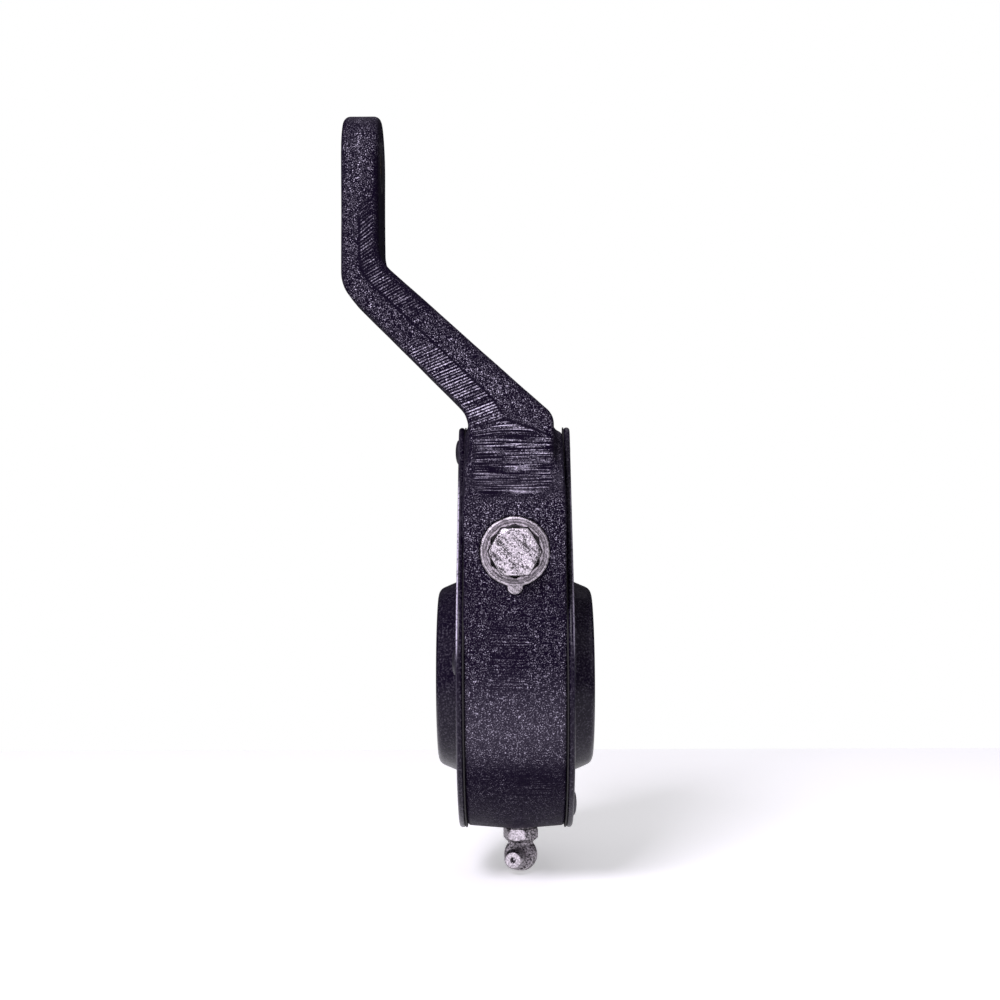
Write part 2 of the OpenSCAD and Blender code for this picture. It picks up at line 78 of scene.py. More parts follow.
# Places and sizes that several pieces share, in millimetres.
WORM_Z = 41.5
EYE_Z = 165.1
EYE_X = -48.7
EYE_R = 16.5
EYE_HALF = 6.05
ARM_LEAST = 6.0
BARREL_R = 49.0
BODY_HALF = 15.5
BODY_EDGE = 1.2
TOP_RIVET_Z = 72.5
PLATE_IN = 15.9
PLATE_OUT = 17.9
SLEEVE_R = 10.55
FITTING_X = 1.5
FITTING_TURN = math.radians(14)
ELBOW_Z = -58.014

# Share of the forging's front grain tops shown light, by height in millimetres: partly rubbed paint, partly
# painted light and shade, with a painted highlight low on the barrel round -14 and painted shade over the
# eye's top.
RUBBED_AND_LIT_BY_HEIGHT = (
    (-45, 0.18), (-30, 0.20), (-25, 0.16), (-20, 0.45), (-14, 0.62), (-4, 0.60), (4, 0.54), (10, 0.50),
    (20, 0.44), (32, 0.42), (40, 0.82), (54, 0.78), (58, 0.55), (66, 0.6), (84, 0.76), (100, 0.70),
    (120, 0.75), (158, 0.72), (166, 0.68), (171, 0.80), (174, 0.42), (180, 0.25))


class ForgingSizes(bpy.types.PropertyGroup):
    """Sizes of the forged body that the eye reads first."""

    cell: FloatProperty(
        name="Cell", description="Spacing of the grid that the forging's surface is found on",
        default=0.00078, min=0.0006, max=0.002, unit="LENGTH", precision=5)
    edge: FloatProperty(
        name="Arm edge", description="Rounding of the arm's long edges",
        default=0.0023, min=0.001, max=0.005, unit="LENGTH", precision=4)
    ridge: FloatProperty(
        name="Parting ridge", description="Height of the parting ridge above the arm's edges",
        default=0.0014, min=0.0, max=0.002, unit="LENGTH", precision=4)
    waviness: FloatProperty(
        name="Waviness", description="Depth of the slow unevenness left by the forging die",
        default=0.00012, min=0.0, max=0.0005, unit="LENGTH", precision=5)


class FinishColours(bpy.types.PropertyGroup):
    """Colours of the paint, plating and bare metals."""

    paint: FloatVectorProperty(
        name="Paint", description="Black paint of the forging and covers",
        default=(0.0040, 0.0014, 0.0098), size=3, min=0.0, max=1.0, subtype="COLOR")
    # Also the colour of painted glints and painted highlights: the forging's lit grain tops and the covers'
    # rim highlight.
    paint_worn_and_lit: FloatVectorProperty(
        name="Worn paint", description="Paint where the grain's tops are rubbed",
        default=(0.74, 0.68, 0.84), size=3, min=0.0, max=1.0, subtype="COLOR")
    zinc: FloatVectorProperty(
        name="Zinc", description="Zinc plating of the adjusting shaft and lock sleeve",
        default=(0.76, 0.70, 0.755), size=3, min=0.0, max=1.0, subtype="COLOR")
    steel: FloatVectorProperty(
        name="Steel", description="Bare steel of the gear and springs",
        default=(0.36, 0.35, 0.36), size=3, min=0.0, max=1.0, subtype="COLOR")
    bronze: FloatVectorProperty(
        name="Bronze", description="Bushing and thrust washers",
        default=(0.20, 0.135, 0.065), size=3, min=0.0, max=1.0, subtype="COLOR")


class StageSizes(bpy.types.PropertyGroup):
    """Camera and light of the studio."""

    lens: FloatProperty(
        name="Lens", description="Focal length on a 36 mm wide sensor",
        default=63.045, min=20.0, max=200.0, subtype="DISTANCE_CAMERA")
    top_light: FloatProperty(
        name="Top light", description="Power of the wide light overhead",
        default=2.5, min=0.0, max=100.0, unit="POWER")
    key_light: FloatProperty(
        name="Key light", description="Power of the light above and to the left of the camera",
        default=12.0, min=0.0, max=100.0, unit="POWER")
    fill_light: FloatProperty(
        name="Fill light", description="Power of each dim panel at the sides and the back",
        default=1.6, min=0.0, max=100.0, unit="POWER")
    front_panel: FloatProperty(
        name="Front panel", description="Power of the wide panel behind the camera",
        default=3.5, min=0.0, max=100.0, unit="POWER")
    floor: FloatVectorProperty(
        name="Floor", description="Colour of the floor",
        default=(0.93, 0.93, 0.94), size=3, min=0.0, max=1.0, subtype="COLOR")


def blend_min(a, b, reach):
    """Smaller of two fields, with a hollow blend where they differ by less than reach."""
    h = np.clip(0.5 + 0.5 * (b - a) / reach, 0.0, 1.0)
    return b * (1 - h) + a * h - reach * h * (1 - h)


def blend_max(a, b, reach):
    """Larger of two fields, with a rounded edge where they differ by less than reach."""
    return -blend_min(-a, -b, reach)


def round_max(a, b, radius):
    """Larger of two fields that meet squarely, the edge rounded to the radius."""
    corner = np.hypot(np.maximum(a + radius, 0), np.maximum(b + radius, 0))
    return np.minimum(np.maximum(a, b), -radius) + corner


def ramp(value, start, length):
    """0 up to the start, rising evenly to 1 over the length."""
    return np.clip((value - start) / length, 0, 1)


def soft(value, low, high, width):
    """1 between low and high, fading to 0 over the width at both ends."""
    return np.clip((value - low) / width + 0.5, 0, 1) * np.clip((high - value) / width + 0.5, 0, 1)


def arm_edges(x, z):
    """Distance past the arm's left and right outlines in the front view.

    Left: the upright edge and the 45 degree edge cross in a rounded knee, then run into the root's
    upright edge. Right: the same with the knee hollow, then the root's upright edge cuts the slope.
    """
    upright_left, upright_right = -54.75, -42.65
    root_left, root_right = -14.4, 12.4
    left_sum, knee_z = 69.65, 133.3
    slope_x, slope_z = 0.6686, 0.7436
    knee_round, hollow, root_round = 3.7, 4.0, 2.2
    knee_left = blend_max(upright_left - x, (left_sum - x - z) * math.sqrt(0.5), knee_round)
    left = blend_min(knee_left, root_left - x, hollow)
    slope = slope_x * (x - upright_right) + slope_z * (z - knee_z)
    knee_right = blend_min(x - upright_right, slope, hollow)
    right = blend_max(knee_right, x - root_right, root_round)
    return left, right


def arm_half_width(z):
    """Half width of the arm seen from the side: a slow taper, a leaning root face and a steep foot."""
    bend_z, bend_reach = 128.0, 6.0
    face_half, face_z, face_lean = 21.8, 83.0, 0.24
    foot_half, foot_z, foot_lean = 42.5, 56.5, 2.4
    face_reach, foot_reach = 0.8, 6.0
    drop = np.maximum(EYE_Z - z, 0)
    low = np.logaddexp(0, (bend_z - z) / bend_reach) * bend_reach
    shank = EYE_R + 0.027 * drop + 0.05 * low
    face = face_half + face_lean * (face_z - z)
    foot = foot_half - foot_lean * (np.maximum(z, foot_z) - foot_z)
    return blend_max(blend_max(shank, face, face_reach), foot, foot_reach)


def lower_share(z):
    """0 on the upper arm, 1 on the lower arm, changing over along the slope."""
    return np.clip((114.0 - z) / 14.0, 0, 1)


def arm_field(x, y, z, edge, ridge):
    """Arm: front outline and side outline crossed, edges rounded, with a ridge along the middle.

    The front falls away from the ridge to one side, and is ground nearly level on the other: level to
    the right on the upper arm, and to the left on the lower arm.
    """
    furthest, level_share = 1.3, 0.2
    seam_half, seam_depth = 1.3, 0.22
    root_z, tip_z, foot_z = 81.0, 178.0, 48.0
    left, right = arm_edges(x, z)
    width = np.maximum(-(left + right), ARM_LEAST)
    across = np.clip((left - right) / width, -furthest, furthest)
    low = lower_share(z)
    to_left, to_right = np.maximum(across, 0), np.maximum(-across, 0)
    steep = to_left * (1 - low) + to_right * low
    level = to_right * (1 - low) + to_left * low
    seam = np.exp(-np.square(across * width / seam_half))
    fall = (ridge * (steep + level_share * level) + seam_depth * seam) * ramp(z, root_z, 3.0)
    fall = fall * np.clip((tip_z - z) / 12.0, 0, 1)
    side = np.abs(y) - arm_half_width(z) + fall
    eye = np.hypot(y, np.maximum(z - EYE_Z, 0)) - EYE_R + fall
    side = np.where(z > EYE_Z, eye, side)
    return np.maximum(round_max(np.maximum(left, right), side, edge), foot_z - z)


def boss_field(x, y, z):
    """Worm boss and shoulder: two convex side outlines joined by a hollow, cut to the body's width."""
    front_y, front_fall, top_z, top_reach = 45.0, 0.5, 58.0, 9.0
    fall_y, fall_z, fall_length = 5.0, 16.0, 16.763
    rise_y, rise_z, rise_length = 16.0, 19.0, 24.84
    corner_y, corner_z = 26.0, 63.0
    shoulder_top, shoulder_foot, shoulder_reach = 79.0, 55.0, 5.0
    hollow = 8.0
    ay = np.abs(y)
    ax = np.abs(x)
    front = ay - front_y + front_fall * ax / BODY_HALF
    slope = (fall_y * (ay - front_y) + fall_z * (z - top_z)) / fall_length
    block = blend_max(np.maximum(front, -z), slope, top_reach)
    rise = (rise_y * (ay - corner_y) + rise_z * (z - corner_z)) / rise_length
    shoulder = np.maximum(blend_max(rise, z - shoulder_top, shoulder_reach), shoulder_foot - z)
    return round_max(blend_min(block, shoulder, hollow), ax - BODY_HALF, BODY_EDGE)


def barrel_field(x, y, z):
    """Barrel: a disc whose radius falls from the middle plane to both sides."""
    fall = 1.2
    ax = np.abs(x)
    return round_max(np.hypot(y, z) - BARREL_R + fall * ax / BODY_HALF, ax - BODY_HALF, BODY_EDGE)


def bore_field(x, y, z):
    """All bores of the forging as one field: negative where metal is taken away."""
    cavity_r, pin_r, port_r = 34.5, 8.41, 4.61
    room_r, neck_r, sleeve_r, key_r = 13.05, 7.06, 10.67, 2.52
    room_front, sleeve_back, pin_right, port_top = -18.8, -31.0, -30.0, -39.0
    worm = np.hypot(x, z - WORM_Z)
    cavity = np.hypot(y, z) - cavity_r
    worm_room = np.maximum(worm - room_r, room_front - y)
    neck = np.maximum(worm - neck_r, y)
    sleeve = np.minimum(worm - sleeve_r, np.hypot(x, z - WORM_Z + SLEEVE_R) - key_r)
    sleeve = np.maximum(sleeve, y - sleeve_back)
    pin = np.maximum(np.hypot(y, z - EYE_Z) - pin_r, x - pin_right)
    port = np.maximum(np.hypot(x - FITTING_X, y) - port_r, z - port_top)
    near_worm = np.minimum(np.minimum(worm_room, neck), sleeve)
    return np.minimum(np.minimum(near_worm, cavity), np.minimum(pin, port))


def waves(x, y, z):
    """Slow unevenness between -1 and 1: three products of sines of odd lengths."""
    one = np.sin(x / 5.3 + 1.1) * np.sin(y / 6.7 + 0.4) * np.sin(z / 7.9)
    two = np.sin((x + y) / 4.1 + 2.0) * np.sin((z - x) / 5.9 + 0.7)
    three = np.sin((z + y) / 11.3) * np.sin(x / 8.7 + z / 13.1)
    return (one + 0.6 * two + 0.8 * three) / 2.4


def forging_field(x, y, z, edge, ridge, wave):
    """Distance-like field of the forging: barrel, boss and arm blended together, less the bores."""
    core_reach, arm_reach, bore_reach = 2.5, 4.0, 0.5
    core = blend_min(barrel_field(x, y, z), boss_field(x, y, z), core_reach)
    whole = blend_min(core, arm_field(x, y, z, edge, ridge), arm_reach)
    whole = whole + wave * waves(x, y, z)
    return blend_max(whole, -bore_field(x, y, z), bore_reach)


def zero_surface(field, low, high, cell):
    """Points and quads of a field's zero surface.

    Each grid cell that the surface crosses has one point, the mean of the crossings on its twelve
    edges, and each crossed grid edge joins the four cells round it. The points are then moved onto
    the surface along the field's gradient.
    """
    counts = np.ceil((high - low) / cell).astype(int) + 1
    axes = [low[i] + cell * np.arange(counts[i]) for i in range(3)]
    value = field(axes[0][:, None, None], axes[1][None, :, None], axes[2][None, None, :])
    inside = value < 0
    cells = counts - 1
    corner = [(i, j, k) for i in (0, 1) for j in (0, 1) for k in (0, 1)]
    part = lambda a, c: a[c[0]:c[0] + cells[0], c[1]:c[1] + cells[1], c[2]:c[2] + cells[2]]
    filled = sum(part(inside, c).astype(np.int8) for c in corner)
    place = np.argwhere((filled > 0) & (filled < 8))
    index = np.full(cells, -1, dtype=np.int64)
    index[tuple(place.T)] = np.arange(len(place))
    total = np.zeros((len(place), 3))
    hits = np.zeros(len(place))
    for a in corner:
        for axis in range(3):
            if a[axis] == 1:
                continue
            b = tuple(1 if i == axis else a[i] for i in range(3))
            va = value[tuple((place + a).T)]
            vb = value[tuple((place + b).T)]
            cut = (va < 0) != (vb < 0)
            share = np.where(cut, va / np.where(cut, va - vb, 1), 0)
            spot = np.repeat(np.array(a, float)[None], len(place), 0)
            spot[:, axis] = share
            total += np.where(cut[:, None], spot, 0)
            hits += cut
    points = low + cell * (place + total / hits[:, None])
    quads = []
    for axis in range(3):
        u, v = (axis + 1) % 3, (axis + 2) % 3
        near = [slice(1, -1)] * 3
        near[axis] = slice(0, -1)
        far = list(near)
        far[axis] = slice(1, None)
        near_in, far_in = inside[tuple(near)], inside[tuple(far)]
        crossed = np.argwhere(near_in != far_in)
        leaving = near_in[tuple(crossed.T)]
        base = crossed + 1
        base[:, axis] -= 1
        ring = []
        for du, dv in ((1, 1), (0, 1), (0, 0), (1, 0)):
            step = base.copy()
            step[:, u] -= du
            step[:, v] -= dv
            ring.append(index[tuple(step.T)])
        quad = np.stack(ring, 1)
        quads.append(np.where(leaving[:, None], quad, quad[:, ::-1]))
    eps, least_slope = 0.03, 0.2
    for _ in range(2):
        x, y, z = points.T
        gx = field(x + eps, y, z) - field(x - eps, y, z)
        gy = field(x, y + eps, z) - field(x, y - eps, z)
        gz = field(x, y, z + eps) - field(x, y, z - eps)
        slope = np.stack([gx, gy, gz], 1) / (2 * eps)
        square = np.maximum((slope ** 2).sum(1), least_slope)
        step = field(x, y, z)[:, None] * slope / square[:, None]
        points = points - np.clip(step, -cell / 2, cell / 2)
    return points, np.concatenate(quads)


def grid_quads(rows, columns, shut=False):
    """Quads of a grid of rows by columns, the columns joined in a ring, the rows too where shut."""
    last = rows if shut else rows - 1
    r = np.arange(last)[:, None]
    c = np.arange(columns)[None, :]
    n = (r + 1) % rows
    d = (c + 1) % columns
    quad = [r * columns + c, r * columns + d, n * columns + d, n * columns + c]
    return np.stack([q.ravel() for q in np.broadcast_arrays(*quad)], 1)


def eased(points, reach, steps=6):
    """Profile with each corner replaced by a parabola that starts and ends its reach away from it."""
    points = np.asarray(points, float)
    reach = np.asarray(reach, float)[:, None]
    before = np.roll(points, 1, 0) - points
    after = np.roll(points, -1, 0) - points
    before /= np.linalg.norm(before, axis=1, keepdims=True)
    after /= np.linalg.norm(after, axis=1, keepdims=True)
    t = np.linspace(0, 1, steps)[None, :, None]
    start = (points + reach * before)[:, None]
    end = (points + reach * after)[:, None]
    arc = (1 - t) ** 2 * start + 2 * t * (1 - t) * points[:, None] + t ** 2 * end
    return arc.reshape(-1, 2)


def angles(count):
    """Angles of a full turn in equal steps."""
    return np.arange(count) * 2 * math.pi / count


def turned(profile, steps=96):
    """Profile of radius and height turned about the height axis: rows by steps points."""
    a = angles(steps)
    r, h = np.asarray(profile, float).T
    return np.stack([np.outer(r, np.cos(a)), np.outer(r, np.sin(a)),
                     np.repeat(h[:, None], steps, 1)], 2)


def polar(radius, height):
    """Surface of radius (rows by angles) at the heights of its rows, about the height axis."""
    steps = radius.shape[1]
    a = angles(steps)
    return np.stack([radius * np.cos(a), radius * np.sin(a),
                     np.repeat(np.asarray(height, float)[:, None], steps, 1)], 2)


def hexagon(angle, flats, worn):
    """Radius of a hexagon at each angle: half the flats over the cosine, its corners worn down."""
    turn = (angle + math.pi / 6) % (math.pi / 3) - math.pi / 6
    sharp = flats / 2 / np.cos(turn)
    return blend_min(sharp, np.full_like(sharp, flats / 2 / math.cos(math.pi / 6) - worn), 4 * worn)


def along_worm(grid):
    """Local height becomes the way from front to back on the worm's axis."""
    return np.stack([grid[..., 0], grid[..., 2], grid[..., 1] + WORM_Z], -1)


def along_camshaft(grid, side):
    """Local height becomes the way out from the middle plane, on the side given by its sign."""
    return np.stack([side * grid[..., 2], grid[..., 0], grid[..., 1]], -1)


def at_fitting(points, rise=0.0):
    """Points turned with the grease fitting about its upright axis and moved to its place."""
    c, s = math.cos(-FITTING_TURN), math.sin(-FITTING_TURN)
    spin = np.array([[c, -s, 0], [s, c, 0], [0, 0, 1]])
    return points @ spin.T + np.array([FITTING_X, 0, rise])


def coil(mean_r, wire, turns, front, back):
    """Round wire on a helix along Y: a ring of the wire at each step, shut by a point at each end."""
    steps, sides = 24, 12
    turn = np.arange(turns * steps + 1)[:, None] / steps
    a = angles(sides)[None, :]
    r = mean_r + wire / 2 * np.cos(a)
    y = front + wire / 2 + (back - front - wire) * turn / turns + wire / 2 * np.sin(a)
    grid = np.stack([r * np.cos(2 * math.pi * turn), y, r * np.sin(2 * math.pi * turn)], -1)
    ends = [np.broadcast_to(ring.mean(0), ring.shape)[None] for ring in (grid[0], grid[-1])]
    return np.concatenate([ends[0], grid, ends[1]])


def put_piece(name, shells, body, node, material, sharp=None):
    """Mesh object of one or more shells of points and quads, in place of a node.

    It rides on the body; where body is a tuple, it is left where it is built, on no body.
    """
    start = 0
    points, quads = [], []
    for shell_points, shell_quads in shells:
        flat = np.asarray(shell_points, float).reshape(-1, 3)
        points.append(flat)
        quads.append(shell_quads + start)
        start += len(flat)
    points = np.concatenate(points) * MM
    quads = np.concatenate(quads)
    mesh = bpy.data.meshes.new(name)
    mesh.from_pydata(points.tolist(), [], quads.tolist())
    work = bmesh.new()
    work.from_mesh(mesh)
    bmesh.ops.remove_doubles(work, verts=work.verts, dist=2e-6)
    bmesh.ops.recalc_face_normals(work, faces=work.faces)
    work.to_mesh(mesh)
    work.free()
    if not mesh.polygons:
        raise RuntimeError(f"{name} has no faces")
    mesh.shade_smooth()
    if sharp:
        mesh.set_sharp_from_angle(angle=math.radians(sharp))
    mesh.materials.append(material)
    piece = bpy.data.objects.new(name, mesh)
    bpy.context.scene.collection.objects.link(piece)
    if isinstance(body, tuple):
        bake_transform(piece)
    else:
        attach(piece, body)
    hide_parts(node)
    return piece


def shell(grid, shut=False):
    """Points and quads of a grid whose columns run round in a ring."""
    return grid, grid_quads(grid.shape[0], grid.shape[1], shut)


class Finish:
    """One procedural material: a principled shader and short calls that add nodes to it."""

    def __init__(self, name):
        self.material = bpy.data.materials.new(name)
        self.material.use_nodes = True
        self.tree = self.material.node_tree
        self.shader = self.tree.nodes["Principled BSDF"]
        self.place = self.add("ShaderNodeTexCoord").outputs["Object"]

    def add(self, kind, links=(), **values):
        made = self.tree.nodes.new(kind)
        for key, value in values.items():
            if hasattr(made, key):
                setattr(made, key, value)
            else:
                made.inputs[key.replace("_", " ").title()].default_value = value
        for socket, source in links:
            self.tree.links.new(source, made.inputs[socket])
        return made

    def noise(self, size, detail=3.0, place=None, rough=0.55):
        """Noise whose blotches are about the given size in metres."""
        made = self.add("ShaderNodeTexNoise", [("Vector", place or self.place)],
                        scale=1.0 / size, detail=detail, roughness=rough)
        return made.outputs["Fac"]

    def span(self, source, low, high, to_low=0.0, to_high=1.0):
        made = self.add("ShaderNodeMapRange", [("Value", source)])
        made.inputs["From Min"].default_value = low
        made.inputs["From Max"].default_value = high
        made.inputs["To Min"].default_value = to_low
        made.inputs["To Max"].default_value = to_high
        return made.outputs["Result"]

    def math(self, operation, a, b):
        made = self.add("ShaderNodeMath", operation=operation)
        for i, value in enumerate((a, b)):
            if isinstance(value, (int, float)):
                made.inputs[i].default_value = value
            else:
                self.tree.links.new(value, made.inputs[i])
        return made.outputs["Value"]

    def times(self, a, b):
        return self.math("MULTIPLY", a, b)

    def plus(self, a, b):
        return self.math("ADD", a, b)

    def attribute(self, name, output="Fac"):
        return self.add("ShaderNodeAttribute", attribute_name=name).outputs[output]

    def parts(self, vector=None):
        """Outputs X, Y and Z of a vector, or of the place on the object."""
        return self.add("ShaderNodeSeparateXYZ", [("Vector", vector or self.place)]).outputs

    def mix(self, share, a, b):
        """Mix of two colours, each a triple or a socket."""
        made = self.add("ShaderNodeMix", data_type="RGBA")
        self.tree.links.new(share, made.inputs["Factor"])
        for socket, value in ((6, a), (7, b)):
            if hasattr(value, "links"):
                self.tree.links.new(value, made.inputs[socket])
            else:
                made.inputs[socket].default_value = (*value, 1.0)
        return made.outputs[2]

    def share(self, share, a, b):
        """Mix of two numbers, both sockets."""
        made = self.add("ShaderNodeMix", data_type="FLOAT")
        for socket, source in ((0, share), (2, a), (3, b)):
            self.tree.links.new(source, made.inputs[socket])
        return made.outputs[0]

    def bump(self, height, distance, strength=1.0, below=None):
        made = self.add("ShaderNodeBump", [("Height", height)])
        made.inputs["Strength"].default_value = strength
        made.inputs["Distance"].default_value = distance
        if below is not None:
            self.tree.links.new(below, made.inputs["Normal"])
        return made.outputs["Normal"]

    def shade(self, **sockets):
        for key, value in sockets.items():
            socket = self.shader.inputs[key.replace("_", " ")]
            if hasattr(value, "links"):
                self.tree.links.new(value, socket)
            else:
                socket.default_value = value
        return self.material


def colours():
    return bpy.context.scene.slack_colours


def toned(colour, share):
    """Colour made darker or lighter by a share."""
    return tuple(c * share for c in colour)


def forging_paint():
    """Black paint over forged grain, and over grinding marks where the flash was ground away.

    The light tone rises as a power of the grain's or the marks' height, so dark hollows stay black
    and only the tops are light, partly rubbed paint and partly painted glints and painted light and
    shade; shallow pits and small clumps make it uneven. The arm's marks are even lines, the shoulder's
    are dotted streaks. The parting seam and the crease over the shoulder's ground patch get painted
    shadow lines, and a faint painted sheen lies on the barrel.
    """
    f = Finish("forging_paint")
    ground, hatched = f.attribute("ground"), f.attribute("hatched")
    rubbed_and_lit, painted_sheen = f.attribute("rubbed_and_lit"), f.attribute("painted_sheen")
    lines = f.attribute("grind_place", "Vector")
    grain = f.noise(0.00033, 0.0)
    pits = f.noise(0.0028, 2.0)
    clump = f.noise(0.0011, 1.0)
    streak = f.noise(0.27, 0.0, lines)
    rise = f.parts(lines)["Y"]
    wander = f.times(f.noise(0.004, 2.0), 2.5)
    wave = f.math("SINE", f.plus(f.times(rise, 7.0), wander), 0.0)
    dotted = f.plus(f.times(streak, 0.8), f.times(grain, 0.4))
    dotted = f.math("SUBTRACT", dotted, 0.10)
    even = f.plus(f.times(streak, 0.45), f.times(grain, 0.55))
    hatch = f.plus(f.span(wave, -1.0, 1.0, -0.15, 0.13), even)
    marks = f.share(hatched, dotted, hatch)
    top = f.math("POWER", f.span(f.share(ground, grain, marks), 0.50, 0.88), 1.8)
    # light grain tops: partly rubbed paint, partly painted glints and painted light and shade by place
    light = f.times(f.times(top, rubbed_and_lit), f.span(pits, 0.3, 0.7, 0.6, 1.4))
    light = f.times(light, f.span(clump, 0.35, 0.65, 0.5, 1.6))
    # painted shadow lines along the parting seam and in the crease above the shoulder's ground patch
    off_seam = f.math("ABSOLUTE", f.attribute("off_seam"), 0.0)
    off_crease = f.math("ABSOLUTE", f.attribute("off_crease"), 0.0)
    light = f.times(light, f.span(off_seam, 0.25, 0.6, 0.05, 1.0))
    light = f.times(light, f.span(off_crease, 0.25, 0.7, 0.08, 1.0))
    # the sheen adds a soft painted highlight on the barrel's front
    return f.shade(
        Base_Color=f.mix(f.plus(light, painted_sheen), tuple(colours().paint), tuple(colours().paint_worn_and_lit)),
        Roughness=f.span(pits, 0.3, 0.7, 0.40, 0.52), Specular_IOR_Level=0.03,
        Normal=f.bump(f.share(ground, grain, marks), 0.00012))


def cover_paint():
    """Black paint over smooth pressed sheet, with slight orange peel, and chips on the rim's corner that
    also carry a painted highlight.
    """
    f = Finish("cover_paint")
    peel = f.noise(0.0016, 2.0)
    dust = f.noise(0.0006, 3.0)
    edge = f.attribute("rim_wear_and_highlight")
    # painted highlight along the rim's outer corner, broken into chips by the dust noise
    chips_and_highlight = f.times(f.span(dust, 0.31, 0.47), edge)
    worn = f.math("MAXIMUM", f.times(f.span(dust, 0.50, 0.80), 0.12), chips_and_highlight)
    return f.shade(
        Base_Color=f.mix(worn, tuple(colours().paint), tuple(colours().paint_worn_and_lit)),
        Roughness=f.span(f.noise(0.006), 0.3, 0.7, 0.24, 0.34), Specular_IOR_Level=0.16,
        Normal=f.bump(peel, 0.00006))


def zinc_plate(name, colour, rough, depth, dark, lathe=0.0):
    """Zinc plating: cloudy tone, dark pits, slanting wipe marks, and lathe rings round the worm's axis."""
    f = Finish(name)
    cloud = f.noise(0.0030, 2.0)
    pits = f.noise(0.00038, 1.0)
    slant = f.add("ShaderNodeMapping", [("Vector", f.place)], vector_type="TEXTURE")
    slant.inputs["Rotation"].default_value = (0.0, math.radians(40), 0.0)
    slant.inputs["Scale"].default_value = (4.0, 1.0, 1.0)
    wiped = f.noise(0.0010, 1.0, slant.outputs["Vector"])
    tone = f.plus(f.times(pits, 0.67), f.times(wiped, 0.48))
    tone = f.plus(tone, f.times(cloud, 0.2))
    part = f.parts()
    up = f.math("SUBTRACT", part["Z"], WORM_Z * MM)
    squares = f.plus(f.times(part["X"], part["X"]), f.times(up, up))
    radius = f.math("SQRT", squares, 0.0)
    phase = f.times(radius, 2 * math.pi / 0.0009)
    phase = f.plus(phase, f.times(cloud, 1.5))
    rings = f.math("SUBTRACT", f.math("SINE", phase, 0.0), 0.45)
    rings = f.times(rings, f.span(radius, 0.0103, 0.0105, lathe, 0.0))
    tone = f.plus(tone, rings)
    return f.shade(
        Base_Color=f.mix(f.span(tone, 0.56, 0.72), toned(colour, dark), tuple(colour)),
        Metallic=1.0, Roughness=f.span(pits, 0.3, 0.7, rough - 0.08, rough + 0.12),
        Normal=f.bump(pits, depth))


def fitting_zinc():
    """Plating of the grease fitting, grimy where it isn't touched.

    Clean metal on the nozzle's tip; a painted highlight on the hex's front flat, and on an arc round the
    lower foot of the elbow's flat face.
    """
    f = Finish("fitting_zinc")
    part = f.parts()
    pits = f.noise(0.0005, 1.0)
    turn = (-math.sin(FITTING_TURN), -math.cos(FITTING_TURN))
    ahead = f.plus(f.times(part["X"], turn[0]), f.times(part["Y"], turn[1]))
    ahead = f.math("SUBTRACT", ahead, FITTING_X * MM * turn[0])
    # painted highlight on the hex's front flat
    flat = f.times(f.span(ahead, 0.0050, 0.0051), f.span(part["Z"], -0.0542, -0.0536))
    clean_and_highlight = f.math("MAXIMUM", flat, f.span(ahead, 0.0103, 0.0105))
    # painted highlight: a light arc round the foot of the elbow's flat face, on its lower side only
    rim = f.times(f.span(ahead, 0.0023, 0.0025), f.span(ahead, 0.00289, 0.00282))
    rim = f.times(rim, f.span(part["Z"], -0.0588, -0.0598))
    clean_and_highlight = f.math("MAXIMUM", clean_and_highlight, rim)
    high = f.mix(clean_and_highlight, toned(colours().zinc, 0.70), toned(colours().zinc, 1.06))
    low = f.mix(clean_and_highlight, toned(colours().zinc, 0.08), toned(colours().zinc, 0.5))
    return f.shade(
        Base_Color=f.mix(f.span(pits, 0.38, 0.64), low, high), Metallic=1.0,
        Roughness=f.span(clean_and_highlight, 0.0, 1.0, 0.52, 0.30), Normal=f.bump(pits, 0.00007))


def plain_metal(name, colour, rough):
    """Machined metal with fine scratches and an uneven film of oil."""
    f = Finish(name)
    film = f.noise(0.004, 3.0)
    fine = f.noise(0.0004, 2.0)
    return f.shade(
        Base_Color=f.mix(film, toned(colour, 0.6), tuple(colour)),
        Metallic=1.0, Roughness=f.span(film, 0.3, 0.7, rough, rough + 0.15),
        Normal=f.bump(fine, 0.00003))


def bushing_bronze():
    """Bronze with paint sprayed over the clevis bushing's two end faces."""
    f = Finish("bronze")
    film = f.noise(0.004, 3.0)
    spray = f.noise(0.0012, 3.0)
    x = f.parts()["X"]
    from_middle = f.math("ABSOLUTE", f.math("SUBTRACT", x, EYE_X * MM), 0.0)
    at_end = f.span(f.plus(from_middle, f.times(spray, 0.0012)), 0.0052, 0.0060)
    near_eye = f.math("LESS_THAN", x, -0.03)
    painted = f.times(at_end, near_eye)
    metal = f.mix(film, toned(colours().bronze, 0.5), tuple(colours().bronze))
    return f.shade(
        Base_Color=f.mix(painted, metal, tuple(colours().paint)),
        Metallic=f.span(painted, 0.0, 1.0, 1.0, 0.0), Roughness=f.span(painted, 0.0, 1.0, 0.36, 0.75),
        Normal=f.bump(f.noise(0.0004, 2.0), 0.00003))


def soft_part(name, colour, rough, size):
    """Rubber or paper: matt, with a fine grain and mottled tone."""
    f = Finish(name)
    grain = f.noise(size, 4.0)
    return f.shade(
        Base_Color=f.mix(grain, toned(colour, 0.6), colour),
        Roughness=f.span(grain, 0.3, 0.7, rough - 0.1, rough + 0.1),
        Normal=f.bump(grain, 0.00008))


def vertex_values(mesh, key):
    """Places or normals of a mesh's vertices: three rows of X, Y and Z."""
    flat = np.empty(len(mesh.vertices) * 3)
    mesh.vertices.foreach_get(key, flat)
    return flat.reshape(-1, 3).T


